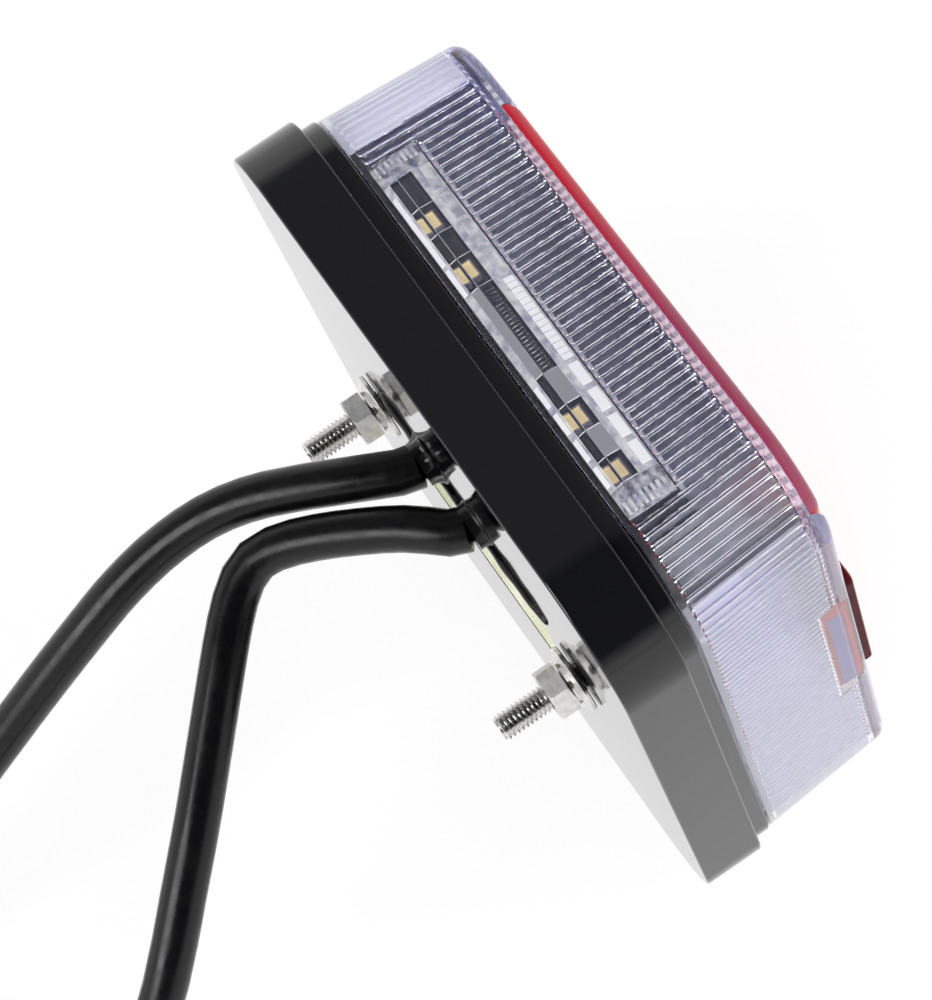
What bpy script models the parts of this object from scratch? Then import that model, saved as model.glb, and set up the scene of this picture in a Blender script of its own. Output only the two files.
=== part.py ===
"""Trailer tail lamp: black base, clear fluted cover with a number plate window, red front, studs and two leads.

Units are metres. The lamp stands on one long side with its number plate window up (+Z).
Its front faces -Y. Its studs and leads leave the back, towards +Y.
Depths are measured from the back face towards the front.
"""

import math

import bmesh
import bpy
from mathutils import Vector

MM = 0.001

# Gaps
CLEARANCE = 0.3 * MM
THREAD_CLEARANCE = 0.12 * MM

# Base
BODY_LENGTH = 95.5 * MM
BODY_HEIGHT = 101.0 * MM
BODY_CORNER = 16.0 * MM
FLANGE_DEPTH = 9.3 * MM
EDGE_CHAMFER = 0.5 * MM
STEP_DEPTH = 2.6 * MM
STEP_INSET = 1.7 * MM
BACK_WALL = 4.0 * MM
TONGUE_HEIGHT = 2.0 * MM
TONGUE_WALL = 1.2 * MM
POST_DIAMETER = 6.0 * MM
POST_HEIGHT = 8.0 * MM
POST_INSET = 16.5 * MM
POCKET_LENGTH = 38.0 * MM
POCKET_HEIGHT = 26.0 * MM
POCKET_CORNER = 5.0 * MM
POCKET_DEPTH = 2.2 * MM
POCKET_DROP = 2.5 * MM
POTTING_LEVEL = 0.5 * MM

# Cover
LENS_INSET = 2.0 * MM
LENS_DRAFT = 0.4 * MM
LENS_END_DRAFT = 1.6 * MM
LENS_WALL = 1.6 * MM
LENS_DEPTH = 21.5 * MM
FRONT_THICKNESS = 2.4 * MM
FRONT_ROUND = 2.0 * MM
FLUTE_PITCH = 1.47 * MM
FLUTE_HEIGHT = 0.45 * MM
SEAL_WIDTH = 1.2 * MM
SEAL_HEIGHT = 1.2 * MM

# Number plate window
WINDOW_LENGTH = 59.6 * MM
WINDOW_WIDTH = 7.3 * MM
WINDOW_SHIFT = -1.2 * MM
WINDOW_FOOT_GAP = 1.0 * MM
WINDOW_RISE = 0.7 * MM
WINDOW_RIDGE = 1.0 * MM

# Red front and reflector
CLEAR_END = 19.6 * MM
NEAR_RIM = 1.95 * MM
REFLECTOR_WIDTH = 22.0 * MM
REFLECTOR_HEIGHT = 29.5 * MM
REFLECTOR_DEPTH = 6.3 * MM
REFLECTOR_PROUD = 1.5 * MM
REFLECTOR_WALL = 1.4 * MM
REFLECTOR_FACE = 2.6 * MM
REFLECTOR_CORNER = 1.5 * MM
REFLECTOR_RIM = 2.05 * MM
REFLECTOR_LIFT = 0.8 * MM

# Boards and their parts
BOARD_GAP = 0.5 * MM
BOARD_THICKNESS = 1.6 * MM
LED_LENGTH = 3.5 * MM
LED_WIDTH = 2.8 * MM
LED_HEIGHT = 1.2 * MM
TAIL_ROWS = 2
TAIL_COLUMNS = 3
TAIL_SPACING = 18.0 * MM
TAIL_SHIFT = -8.0 * MM
INDICATOR_COUNT = 3
INDICATOR_SPACING = 16.0 * MM
INDICATOR_INSET = 13.5 * MM
CHIP_LENGTH = 3.2 * MM
CHIP_WIDTH = 1.6 * MM
CHIP_HEIGHT = 0.7 * MM
CHIP_SPACING = 14.0 * MM
CHIP_DROP = 36.0 * MM
DIODE_LENGTH = 4.6 * MM
DIODE_WIDTH = 2.6 * MM
DIODE_HEIGHT = 2.2 * MM
DIVIDER_DROP = 7.1 * MM
DIVIDER_THICKNESS = 1.6 * MM
DIVIDER_FRONT_GAP = 0.6 * MM
DIVIDER_FAR_REACH = 5.2 * MM
PLATE_BOARD_LENGTH = 62.0 * MM
PLATE_BOARD_WIDTH = 6.8 * MM
PLATE_BOARD_THICKNESS = 1.2 * MM
PLATE_PAIR_SPACING = 35.0 * MM
PLATE_LED_SPACING = 9.1 * MM
PLATE_LED_SHIFT = -0.05 * MM
PLATE_LED_DEPTH = 1.45 * MM
SCREW_DIAMETER = 2.0 * MM
SCREW_LENGTH = 6.0 * MM
SCREW_HEAD_DIAMETER = 4.2 * MM
SCREW_HEAD_HEIGHT = 1.4 * MM
LEAD_DIAMETER = 4.4 * MM

# Studs, washers and nuts
STUD_SPACING = 50.8 * MM
STUD_DIAMETER = 4.0 * MM
STUD_REACH = 12.9 * MM
THREAD_PITCH = 0.7 * MM
THREAD_DEPTH = 0.35 * MM
STUD_HEAD_DIAMETER = 7.6 * MM
STUD_HEAD_HEIGHT = 2.8 * MM
WASHER_DIAMETER = 10.2 * MM
WASHER_EDGE = 0.8 * MM
WASHER_HEIGHT = 1.6 * MM
NUT_FLATS = 7.0 * MM
NUT_HEIGHT = 2.9 * MM
NUT_CHAMFER = 0.4 * MM

# Leads, their coils and ties
CABLE_DIAMETER = 6.4 * MM
CABLE_LENGTH = 500.0 * MM
CABLE_LIFT = 15.5 * MM
CABLE_STUB = 1.2 * MM
LINK_CABLE_X = 6.4 * MM
SUPPLY_CABLE_X = -5.5 * MM
CABLE_SEAL_DIAMETER = 9.6 * MM
LINK_SEAL_HEIGHT = 1.2 * MM
SUPPLY_SEAL_HEIGHT = 0.8 * MM
SEAL_NECK = 0.1 * MM
COIL_CENTRE = (-15.0 * MM, 142.0 * MM)
SUPPLY_COIL_RADIUS = 39.0 * MM
LINK_COIL_RADIUS = 32.0 * MM
SUPPLY_COIL_START = math.radians(212.0)
LINK_COIL_START = math.radians(0.0)
LAYER_STEP = 7.0 * MM
LAYER_DROP_ANGLE = math.radians(50.0)
COIL_END_ROOM = math.radians(40.0)
POINTS_PER_LOOP = 24
CORE_DIAMETER = 1.7 * MM
CORE_RING = 1.35 * MM
CORE_LENGTH = 18.0 * MM
CORES_PER_CABLE = 4
FILLER_DIAMETER = 5.0 * MM
FILLER_LENGTH = 1.0 * MM
TIE_THICKNESS = 0.9 * MM
TIE_WIDTH = 4.0 * MM
TIE_CORNER = 1.5 * MM
TIE_ANGLES = (math.radians(95.0), math.radians(165.0))

# Routes of the leads in millimetres, as (x, distance behind the back face, z), from the seal to the coil
LINK_ROUTE = [
    (10.7, 10.6, 65.5),
    (14.5, 16.7, 64.5),
    (18.2, 23.1, 63.0),
    (20.7, 29.7, 61.0),
    (22.1, 37.3, 58.0),
    (22.4, 45.0, 54.5),
    (22.3, 52.6, 50.0),
    (22.2, 61.8, 44.0),
    (22.0, 72.0, 37.0),
    (21.4, 84.0, 29.3),
    (20.2, 97.0, 22.6),
    (18.6, 110.0, 17.4),
    (17.3, 124.0, 13.8),
]
SUPPLY_ROUTE = [
    (0.3, 8.7, 65.5),
    (6.2, 16.9, 64.0),
    (9.8, 23.3, 62.5),
    (10.8, 27.8, 61.0),
    (9.3, 31.4, 59.5),
    (6.6, 34.9, 58.0),
    (2.6, 39.2, 56.0),
    (-6.1, 48.6, 51.0),
    (-11.3, 54.3, 48.0),
    (-16.5, 60.7, 44.0),
    (-21.0, 66.5, 40.0),
    (-25.0, 73.0, 35.0),
    (-29.7, 84.0, 27.5),
    (-34.6, 97.0, 20.0),
    (-40.9, 109.3, 14.4),
]
ROUTE_STEP = 4.5 * MM

# Derived places
LENS_FOOT = FLANGE_DEPTH + STEP_DEPTH + CLEARANCE
FRONT = LENS_FOOT + LENS_DEPTH
FRONT_INSIDE = FRONT - FRONT_THICKNESS
FRONT_INSET = LENS_INSET + LENS_DRAFT
FRONT_END_INSET = LENS_INSET + LENS_END_DRAFT
END_TAPER = LENS_END_DRAFT - LENS_DRAFT
WALL_INSET = LENS_INSET + LENS_WALL
FLUTE_INSET = WALL_INSET + FLUTE_HEIGHT
SEAL_INSET = FLUTE_INSET + CLEARANCE
TONGUE_INSET = SEAL_INSET + SEAL_WIDTH + CLEARANCE
TRAY_INSET = TONGUE_INSET + TONGUE_WALL
TONGUE_TOP = FLANGE_DEPTH + STEP_DEPTH + TONGUE_HEIGHT
BOARD_BACK = BACK_WALL + POST_HEIGHT + CLEARANCE
BOARD_FRONT = BOARD_BACK + BOARD_THICKNESS
BACK_Y = (FRONT + REFLECTOR_PROUD - STUD_REACH) / 2
MIDDLE = Vector((0.0, BACK_Y, BODY_HEIGHT / 2))
HALF_LENGTH = BODY_LENGTH / 2
HALF_HEIGHT = BODY_HEIGHT / 2
CABLE_RADIUS = CABLE_DIAMETER / 2
COIL_BASE = TIE_THICKNESS + 2 * CLEARANCE + CABLE_RADIUS
ROUND_STEPS = 24
CORNER_STEPS = 6


def clear_scene():
    for obj in list(bpy.data.objects):
        bpy.data.objects.remove(obj, do_unlink=True)


def material(name, colour, roughness, metallic=0.0, alpha=1.0):
    """A Principled material, made once for each name."""
    found = bpy.data.materials.get(name)
    if found:
        return found
    made = bpy.data.materials.new(name)
    made.use_nodes = True
    shader = made.node_tree.nodes["Principled BSDF"]
    shader.inputs["Base Color"].default_value = (*colour, 1.0)
    shader.inputs["Roughness"].default_value = roughness
    shader.inputs["Metallic"].default_value = metallic
    shader.inputs["Alpha"].default_value = alpha
    return made


def place(name, mesh, look, at=None):
    """Links a mesh or curve as one named object."""
    obj = bpy.data.objects.new(name, mesh)
    obj.location = at or (0.0, 0.0, 0.0)
    if look:
        mesh.materials.append(look)
    bpy.context.scene.collection.objects.link(obj)
    return obj


def finish_mesh(name, bm):
    """Closes a bmesh into a mesh with its faces out and its round faces smooth."""
    bmesh.ops.recalc_face_normals(bm, faces=bm.faces)
    mesh = bpy.data.meshes.new(name)
    bm.to_mesh(mesh)
    bm.free()
    mesh.shade_smooth()
    mesh.set_sharp_from_angle(angle=math.radians(35.0))
    return mesh


def add_skin(bm, loops, closed=False):
    """Joins equal loops of points into a body: capped at both ends, or closed on itself."""
    rings = [[bm.verts.new(point) for point in loop] for loop in loops]
    pairs = list(zip(rings, rings[1:]))
    if closed:
        pairs.append((rings[-1], rings[0]))
    else:
        bm.faces.new(rings[0])
        bm.faces.new(rings[-1])
    count = len(rings[0])
    for first, second in pairs:
        for i in range(count):
            j = (i + 1) % count
            bm.faces.new((first[i], first[j], second[j], second[i]))


def skin(name, loops, look, at=None, closed=False):
    bm = bmesh.new()
    add_skin(bm, loops, closed)
    return place(name, finish_mesh(name, bm), look, at)


def helper(name, bodies, at=None):
    """Separate bodies in one object, for a Boolean. Each body is a list of loops."""
    bm = bmesh.new()
    for loops in bodies:
        add_skin(bm, loops)
    return place(name, finish_mesh(name, bm), None, at)


def copies(name, loops, look, places):
    """Equal pieces that share one mesh, numbered from 1. Places are from the middle of the back."""
    bm = bmesh.new()
    add_skin(bm, loops)
    mesh = finish_mesh(name, bm)
    mesh.materials.append(look)
    for i, at in enumerate(places, 1):
        place(f"{name}_{i}", mesh, None, MIDDLE + at)


def circle(radius, depth, x=0.0, z=0.0, steps=ROUND_STEPS):
    angles = [2 * math.pi * i / steps for i in range(steps)]
    return [Vector((x + radius * math.cos(a), -depth, z + radius * math.sin(a))) for a in angles]


def rod(radius, start, end, x=0.0, z=0.0, steps=ROUND_STEPS):
    return [circle(radius, start, x, z, steps), circle(radius, end, x, z, steps)]


def block(low, high):
    """Loops of a box, from its lowest and highest corners."""
    corners = [(low[0], low[2]), (high[0], low[2]), (high[0], high[2]), (low[0], high[2])]
    return [[Vector((x, y, z)) for x, z in corners] for y in (low[1], high[1])]


def chip(x_size, y_size, z_size):
    """Loops of a box round its own middle."""
    half = Vector((x_size, y_size, z_size)) / 2
    return block(-half, half)


def rounded(left, right, bottom, top, corners, depth, steps=CORNER_STEPS):
    """A rounded rectangle. Its corner radii start at bottom left and go round by bottom right."""
    places = [(left, bottom, 1, 1), (right, bottom, -1, 1), (right, top, -1, -1), (left, top, 1, -1)]
    points = []
    for k, ((x, z, sx, sz), radius) in enumerate(zip(places, corners)):
        for i in range(steps + 1):
            a = math.pi + (k + i / steps) * math.pi / 2
            points.append(Vector((
                x + sx * radius + radius * math.cos(a), -depth, z + sz * radius + radius * math.sin(a),
            )))
    return points


def body_outline(inset, depth, taper=0.0):
    """The lamp's own outline, set in by a distance. Its two ends may taper in further."""
    x = HALF_LENGTH - inset - taper
    z = HALF_HEIGHT - inset
    return rounded(-x, x, -z, z, [BODY_CORNER - inset] * 4, depth)


def front_round():
    """Pairs of inset and depth round the front edge."""
    angles = [math.pi / 2 * i / 4 for i in range(5)]
    return [(FRONT_ROUND * (1 - math.cos(a)), FRONT - FRONT_ROUND * (1 - math.sin(a))) for a in angles]


def boolean(target, other, operation):
    """Cuts with a helper, or joins one, and keeps the helper out of the part."""
    modifier = target.modifiers.new(other.name, "BOOLEAN")
    modifier.operation = operation
    modifier.object = other
    modifier.solver = "EXACT"
    other.hide_render = True
    other.display_type = "WIRE"


def post_places():
    return [
        (sx * (HALF_LENGTH - POST_INSET), sz * (HALF_HEIGHT - POST_INSET))
        for sx in (-1, 1)
        for sz in (-1, 1)
    ]


def stud_places():
    return {"right": STUD_SPACING / 2, "left": -STUD_SPACING / 2}


def cable_places():
    return {"link": LINK_CABLE_X, "supply": SUPPLY_CABLE_X}


def seal_heights():
    return {"link": LINK_SEAL_HEIGHT, "supply": SUPPLY_SEAL_HEIGHT}


def pocket_outline(inset, depth):
    x = POCKET_LENGTH / 2 - inset
    z = POCKET_HEIGHT / 2 - inset
    corner = POCKET_CORNER - inset
    return rounded(-x, x, -z - POCKET_DROP, z - POCKET_DROP, [corner] * 4, depth)


def make_housing(look):
    step = FLANGE_DEPTH + STEP_DEPTH
    profile = [
        (EDGE_CHAMFER, 0.0),
        (0.0, EDGE_CHAMFER),
        (0.0, FLANGE_DEPTH - EDGE_CHAMFER),
        (EDGE_CHAMFER, FLANGE_DEPTH),
        (STEP_INSET, FLANGE_DEPTH),
        (STEP_INSET, step),
        (TONGUE_INSET, step),
        (TONGUE_INSET, TONGUE_TOP),
    ]
    housing = skin("housing", [body_outline(inset, depth) for inset, depth in profile], look, MIDDLE)
    over = 2 * TONGUE_HEIGHT
    tray = skin(
        "tray_cutter",
        [body_outline(TRAY_INSET, BACK_WALL), body_outline(TRAY_INSET, TONGUE_TOP + over)],
        None, MIDDLE,
    )
    boolean(housing, tray, "DIFFERENCE")
    posts = helper(
        "board_posts",
        [rod(POST_DIAMETER / 2, BACK_WALL / 2, BACK_WALL + POST_HEIGHT, x, z, 16) for x, z in post_places()],
        MIDDLE,
    )
    boolean(housing, posts, "UNION")
    holes = [
        rod(SCREW_DIAMETER / 2 + CLEARANCE, BACK_WALL, BOARD_FRONT, x, z, 12)
        for x, z in post_places()
    ]
    holes += [
        rod(STUD_DIAMETER / 2 + CLEARANCE, -BACK_WALL, 2 * BACK_WALL, x)
        for x in stud_places().values()
    ]
    holes += [
        rod(CABLE_RADIUS + SEAL_NECK + CLEARANCE, -BACK_WALL, 2 * BACK_WALL, x, CABLE_LIFT)
        for x in cable_places().values()
    ]
    boolean(housing, helper("hole_cutters", holes, MIDDLE), "DIFFERENCE")
    pocket = skin(
        "pocket_cutter",
        [pocket_outline(0.0, -POCKET_DEPTH), pocket_outline(0.0, POCKET_DEPTH)],
        None, MIDDLE,
    )
    boolean(housing, pocket, "DIFFERENCE")


def make_potting(look):
    loops = [pocket_outline(CLEARANCE, POTTING_LEVEL), pocket_outline(CLEARANCE, POCKET_DEPTH - CLEARANCE)]
    skin("potting_compound", loops, look, MIDDLE)


def fluted_outline(inset, depth, taper=0.0):
    """The cover's inside: fluted along the window side and round the near end, smooth on the others."""
    x = HALF_LENGTH - inset - taper
    z = HALF_HEIGHT - inset
    radius = BODY_CORNER - inset
    start = x - radius
    straight = 2 * start
    arc = radius * math.pi / 2
    end = 2 * (z - radius)
    length = straight + arc + end
    count = round((2 * (HALF_LENGTH - BODY_CORNER) + end + BODY_CORNER) / FLUTE_PITCH)
    points = []
    for i in range(4 * count + 1):
        s = length * i / (4 * count)
        rise = FLUTE_HEIGHT * math.sin(math.pi * (i % 4) / 4)
        if s <= straight:
            points.append(Vector((start - s, -depth, z - rise)))
        elif s <= straight + arc:
            a = math.pi / 2 + (s - straight) / radius
            reach = radius - rise
            points.append(Vector((
                radius - x + reach * math.cos(a), -depth, z - radius + reach * math.sin(a),
            )))
        else:
            points.append(Vector((rise - x, -depth, z - radius - (s - straight - arc))))
    plain = rounded(-x, x, -z, z, [radius] * 4, depth)
    return points + plain[1:3 * (CORNER_STEPS + 1) - 1]


def window_places():
    """The window's ends and the depths of its long edges."""
    left = WINDOW_SHIFT - WINDOW_LENGTH / 2
    back = LENS_FOOT + WINDOW_FOOT_GAP
    return left, left + WINDOW_LENGTH, back, back + WINDOW_WIDTH


def make_window_roof(look):
    """The raised window: low walls and a hipped roof with its ridge along the lamp."""
    left, right, back, front = window_places()
    middle = (back + front) / 2
    hip = WINDOW_WIDTH / 2
    side = HALF_HEIGHT - LENS_INSET
    low = side - LENS_WALL / 2
    eave = side + WINDOW_RISE
    ridge = eave + WINDOW_RIDGE
    bm = bmesh.new()
    foot = [bm.verts.new((x, -d, low)) for x, d in ((left, back), (right, back), (right, front), (left, front))]
    top = [bm.verts.new((v.co.x, v.co.y, eave)) for v in foot]
    peak = [bm.verts.new((x, -middle, ridge)) for x in (left + hip, right - hip)]
    bm.faces.new(foot)
    for i in range(4):
        j = (i + 1) % 4
        bm.faces.new((foot[i], foot[j], top[j], top[i]))
    bm.faces.new((top[0], top[1], peak[1], peak[0]))
    bm.faces.new((top[1], top[2], peak[1]))
    bm.faces.new((top[2], top[3], peak[0], peak[1]))
    bm.faces.new((top[3], top[0], peak[0]))
    return place("window_roof", finish_mesh("window_roof", bm), look, MIDDLE)


def red_outline(inset, depth):
    """The red plate's outline: the cover's own, cut straight at the clear end and at the near rim."""
    right = HALF_LENGTH - LENS_INSET - CLEAR_END - inset
    left = inset + NEAR_RIM + FRONT_END_INSET - HALF_LENGTH
    outline = body_outline(FRONT_INSET + inset, depth, END_TAPER)
    return [Vector((min(max(point.x, left), right), point.y, point.z)) for point in outline]


def reflector_outline(inset, depth):
    left = inset + REFLECTOR_RIM + FRONT_END_INSET - HALF_LENGTH
    right = left + REFLECTOR_WIDTH - 2 * inset
    z = REFLECTOR_HEIGHT / 2 - inset
    corner = max(REFLECTOR_CORNER - inset, CLEARANCE)
    return rounded(left, right, REFLECTOR_LIFT - z, REFLECTOR_LIFT + z, [corner] * 4, depth, 3)


def make_lens_cover(look):
    loops = [body_outline(LENS_INSET, LENS_FOOT)]
    loops += [body_outline(FRONT_INSET + inset, depth, END_TAPER) for inset, depth in front_round()]
    cover = skin("lens_cover", loops, look, MIDDLE)
    boolean(cover, make_window_roof(None), "UNION")
    below = LENS_FOOT - LENS_WALL
    inside = skin(
        "lens_inside",
        [fluted_outline(WALL_INSET, below), fluted_outline(WALL_INSET + LENS_DRAFT, FRONT_INSIDE, END_TAPER)],
        None, MIDDLE,
    )
    boolean(cover, inside, "DIFFERENCE")
    left, right, back, front = window_places()
    clear_top = HALF_HEIGHT - WALL_INSET + CLEARANCE / 3
    window = helper(
        "window_cutter",
        [block((left, -front, clear_top - 4 * FLUTE_HEIGHT), (right, -below, clear_top))],
        MIDDLE,
    )
    boolean(cover, window, "DIFFERENCE")
    opening = skin(
        "red_opening",
        [red_outline(-CLEARANCE, FRONT_INSIDE - CLEARANCE), red_outline(-CLEARANCE, FRONT + FRONT_THICKNESS)],
        None, MIDDLE,
    )
    boolean(cover, opening, "DIFFERENCE")
    boolean(cover, reflector_opening("cover_reflector_opening"), "DIFFERENCE")


def reflector_opening(name):
    back = FRONT + REFLECTOR_PROUD - REFLECTOR_DEPTH - CLEARANCE
    loops = [reflector_outline(-CLEARANCE, back), reflector_outline(-CLEARANCE, FRONT + REFLECTOR_DEPTH)]
    return skin(name, loops, None, MIDDLE)


def make_red_front(look):
    loops = [red_outline(0.0, FRONT_INSIDE)]
    loops += [red_outline(inset, depth) for inset, depth in front_round()]
    plate = skin("red_front_lens", loops, look, MIDDLE)
    boolean(plate, reflector_opening("plate_reflector_opening"), "DIFFERENCE")


def make_reflector(look):
    face = FRONT + REFLECTOR_PROUD
    back = face - REFLECTOR_DEPTH
    loops = [
        reflector_outline(REFLECTOR_WALL, face - REFLECTOR_FACE),
        reflector_outline(REFLECTOR_WALL, back),
        reflector_outline(0.0, back),
        reflector_outline(0.0, face - EDGE_CHAMFER),
        reflector_outline(EDGE_CHAMFER, face),
    ]
    skin("reflex_reflector", loops, look, MIDDLE)


def make_lens_seal(look):
    low = FLANGE_DEPTH + STEP_DEPTH + CLEARANCE
    high = low + SEAL_HEIGHT
    inner = SEAL_INSET + SEAL_WIDTH
    loops = [
        body_outline(SEAL_INSET, low),
        body_outline(SEAL_INSET, high),
        body_outline(inner, high),
        body_outline(inner, low),
    ]
    skin("lens_seal", loops, look, MIDDLE, closed=True)


def make_main_board(look):
    inset = TRAY_INSET + BOARD_GAP
    board = skin(
        "main_circuit_board", [body_outline(inset, BOARD_BACK), body_outline(inset, BOARD_FRONT)], look, MIDDLE,
    )
    holes = [
        rod(SCREW_DIAMETER / 2 + CLEARANCE, BOARD_BACK - BOARD_THICKNESS, BOARD_FRONT + BOARD_THICKNESS, x, z, 12)
        for x, z in post_places()
    ]
    boolean(board, helper("board_hole_cutters", holes, MIDDLE), "DIFFERENCE")


def on_board(x, height, z):
    """The middle of a part of this height that lies on the front of the main board."""
    return Vector((x, -BOARD_FRONT - CLEARANCE - height / 2, z))


def spread(count, spacing):
    return [(i - (count - 1) / 2) * spacing for i in range(count)]


def make_board_parts(red, amber, dark, steel):
    tail = [
        on_board(TAIL_SHIFT + x, LED_HEIGHT, z)
        for x in spread(TAIL_COLUMNS, TAIL_SPACING)
        for z in spread(TAIL_ROWS, TAIL_SPACING)
    ]
    copies("stop_tail_led", chip(LED_LENGTH, LED_HEIGHT, LED_WIDTH), red, tail)
    column = HALF_LENGTH - INDICATOR_INSET
    indicator = [on_board(column, LED_HEIGHT, z) for z in spread(INDICATOR_COUNT, INDICATOR_SPACING)]
    copies("indicator_led", chip(LED_WIDTH, LED_HEIGHT, LED_LENGTH), amber, indicator)
    resistors = [on_board(TAIL_SHIFT + x, CHIP_HEIGHT, -CHIP_DROP) for x in spread(2, CHIP_SPACING)]
    copies("driver_resistor", chip(CHIP_LENGTH, CHIP_HEIGHT, CHIP_WIDTH), dark, resistors)
    diode_at = MIDDLE + on_board(TAIL_SHIFT, DIODE_HEIGHT, -CHIP_DROP)
    skin("polarity_diode", chip(DIODE_LENGTH, DIODE_HEIGHT, DIODE_WIDTH), dark, diode_at)
    screw = [
        circle(SCREW_DIAMETER / 2, -SCREW_LENGTH, steps=12),
        circle(SCREW_DIAMETER / 2, CLEARANCE, steps=12),
        circle(SCREW_HEAD_DIAMETER / 2, CLEARANCE, steps=12),
        circle(SCREW_HEAD_DIAMETER / 2, CLEARANCE + SCREW_HEAD_HEIGHT, steps=12),
    ]
    copies("board_screw", screw, steel, [Vector((x, -BOARD_FRONT, z)) for x, z in post_places()])


def divider_top():
    return HALF_HEIGHT - FLUTE_INSET - DIVIDER_DROP


def divider_back():
    return max(BOARD_FRONT, TONGUE_TOP) + CLEARANCE


def make_divider(look):
    """A dark shelf under the window that reaches into the cover's near corner."""
    top = divider_top()
    corner = BODY_CORNER - FLUTE_INSET - LENS_DRAFT - CLEARANCE
    rise = top - (HALF_HEIGHT - BODY_CORNER)
    near = HALF_LENGTH - END_TAPER - BODY_CORNER + math.sqrt(corner**2 - max(rise, 0.0)**2)
    far = HALF_LENGTH - BODY_CORNER + DIVIDER_FAR_REACH
    low = (-near, -(FRONT_INSIDE - DIVIDER_FRONT_GAP), top - DIVIDER_THICKNESS)
    high = (far, -divider_back(), top)
    skin("light_divider", block(low, high), look, MIDDLE)


def make_plate_light(board, white, dark):
    """The strip board on the divider, with its LEDs and the resistor between each pair."""
    back = divider_back()
    seat = divider_top() + CLEARANCE
    top = seat + PLATE_BOARD_THICKNESS
    half = PLATE_BOARD_LENGTH / 2
    strip = block(
        (WINDOW_SHIFT - half, -back - PLATE_BOARD_WIDTH, seat), (WINDOW_SHIFT + half, -back, top),
    )
    skin("plate_light_board", strip, board, MIDDLE)
    y = -back - PLATE_LED_DEPTH
    middles = [WINDOW_SHIFT + PLATE_LED_SHIFT + x for x in spread(2, PLATE_PAIR_SPACING)]
    led_z = top + CLEARANCE + LED_HEIGHT / 2
    leds = [Vector((middle + x, y, led_z)) for middle in middles for x in spread(2, PLATE_LED_SPACING)]
    copies("plate_led", chip(LED_LENGTH, LED_WIDTH, LED_HEIGHT), white, leds)
    chip_z = top + CLEARANCE + CHIP_HEIGHT / 2
    resistors = [Vector((middle, y, chip_z)) for middle in middles]
    copies("plate_resistor", chip(CHIP_LENGTH, CHIP_WIDTH, CHIP_HEIGHT), dark, resistors)


def make_stud(side, x, look):
    """A screw with its head inside the base and its thread standing out of the back."""
    radius = STUD_DIAMETER / 2
    head = STUD_HEAD_DIAMETER / 2
    seat = BACK_WALL + CLEARANCE
    steps = 16
    profile = [(head - EDGE_CHAMFER, seat + STUD_HEAD_HEIGHT), (head, seat + STUD_HEAD_HEIGHT - EDGE_CHAMFER)]
    profile += [(head, seat), (radius, seat), (radius, 0.0)]
    turns = int((STUD_REACH - THREAD_DEPTH) / THREAD_PITCH)
    for i in range(turns):
        start = -i * THREAD_PITCH
        profile.append((radius - THREAD_DEPTH, start - THREAD_PITCH / 2))
        profile.append((radius, start - THREAD_PITCH))
    profile.append((radius - THREAD_DEPTH, -STUD_REACH))
    loops = [circle(r, depth, steps=steps) for r, depth in profile]
    skin(f"{side}_stud", loops, look, MIDDLE + Vector((x, 0.0, 0.0)))


def hexagon(depth, limit):
    """A hexagon with its corners cut back to a radius, as the chamfer of a nut does."""
    points = []
    for i in range(ROUND_STEPS):
        a = 2 * math.pi * i / ROUND_STEPS
        off = a % (math.pi / 3) - math.pi / 6
        reach = min(NUT_FLATS / 2 / math.cos(off), limit)
        points.append(Vector((reach * math.cos(a), -depth, reach * math.sin(a))))
    return points


def make_nut(side, x, washer_look, nut_look):
    """A cone washer against the back and the nut that turns on it, both centred on the stud."""
    at = MIDDLE + Vector((x, 0.0, 0.0))
    bore = STUD_DIAMETER / 2 / math.cos(math.pi / ROUND_STEPS) + THREAD_CLEARANCE
    foot = -CLEARANCE
    crown = foot - WASHER_HEIGHT
    outer = WASHER_DIAMETER / 2
    washer = [
        circle(bore, foot), circle(outer, foot), circle(outer, foot - WASHER_EDGE),
        circle(NUT_FLATS / 2, crown), circle(bore, crown),
    ]
    skin(f"{side}_washer", washer, washer_look, at, closed=True)
    seat = crown - CLEARANCE
    top = seat - NUT_HEIGHT
    corner = NUT_FLATS / math.sqrt(3)
    flat = NUT_FLATS / 2
    nut = [
        circle(bore, seat), hexagon(seat, flat), hexagon(seat - NUT_CHAMFER, corner),
        hexagon(top + NUT_CHAMFER, corner), hexagon(top, flat), circle(bore, top),
    ]
    skin(f"{side}_nut", nut, nut_look, at, closed=True)


def make_cable_entry(cable, x, seal_look, lead_look):
    """The sealant plug in the back wall and the stripped lead that goes on from it to the board."""
    at = MIDDLE + Vector((x, 0.0, CABLE_LIFT))
    neck = CABLE_RADIUS + SEAL_NECK
    bead = CABLE_SEAL_DIAMETER / 2
    inner = BACK_WALL + CLEARANCE
    foot = -CLEARANCE
    height = seal_heights()[cable]
    top = foot - height
    shoulder = (neck + bead) / 2
    profile = [(neck, inner), (neck, foot), (bead, foot), (shoulder, foot - height / 2), (neck, top)]
    skin(f"{cable}_cable_seal", [circle(r, depth) for r, depth in profile], seal_look, at)
    lead = rod(LEAD_DIAMETER / 2, inner + CLEARANCE, BOARD_BACK - CLEARANCE, steps=12)
    skin(f"{cable}_inner_lead", lead, lead_look, at)


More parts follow.
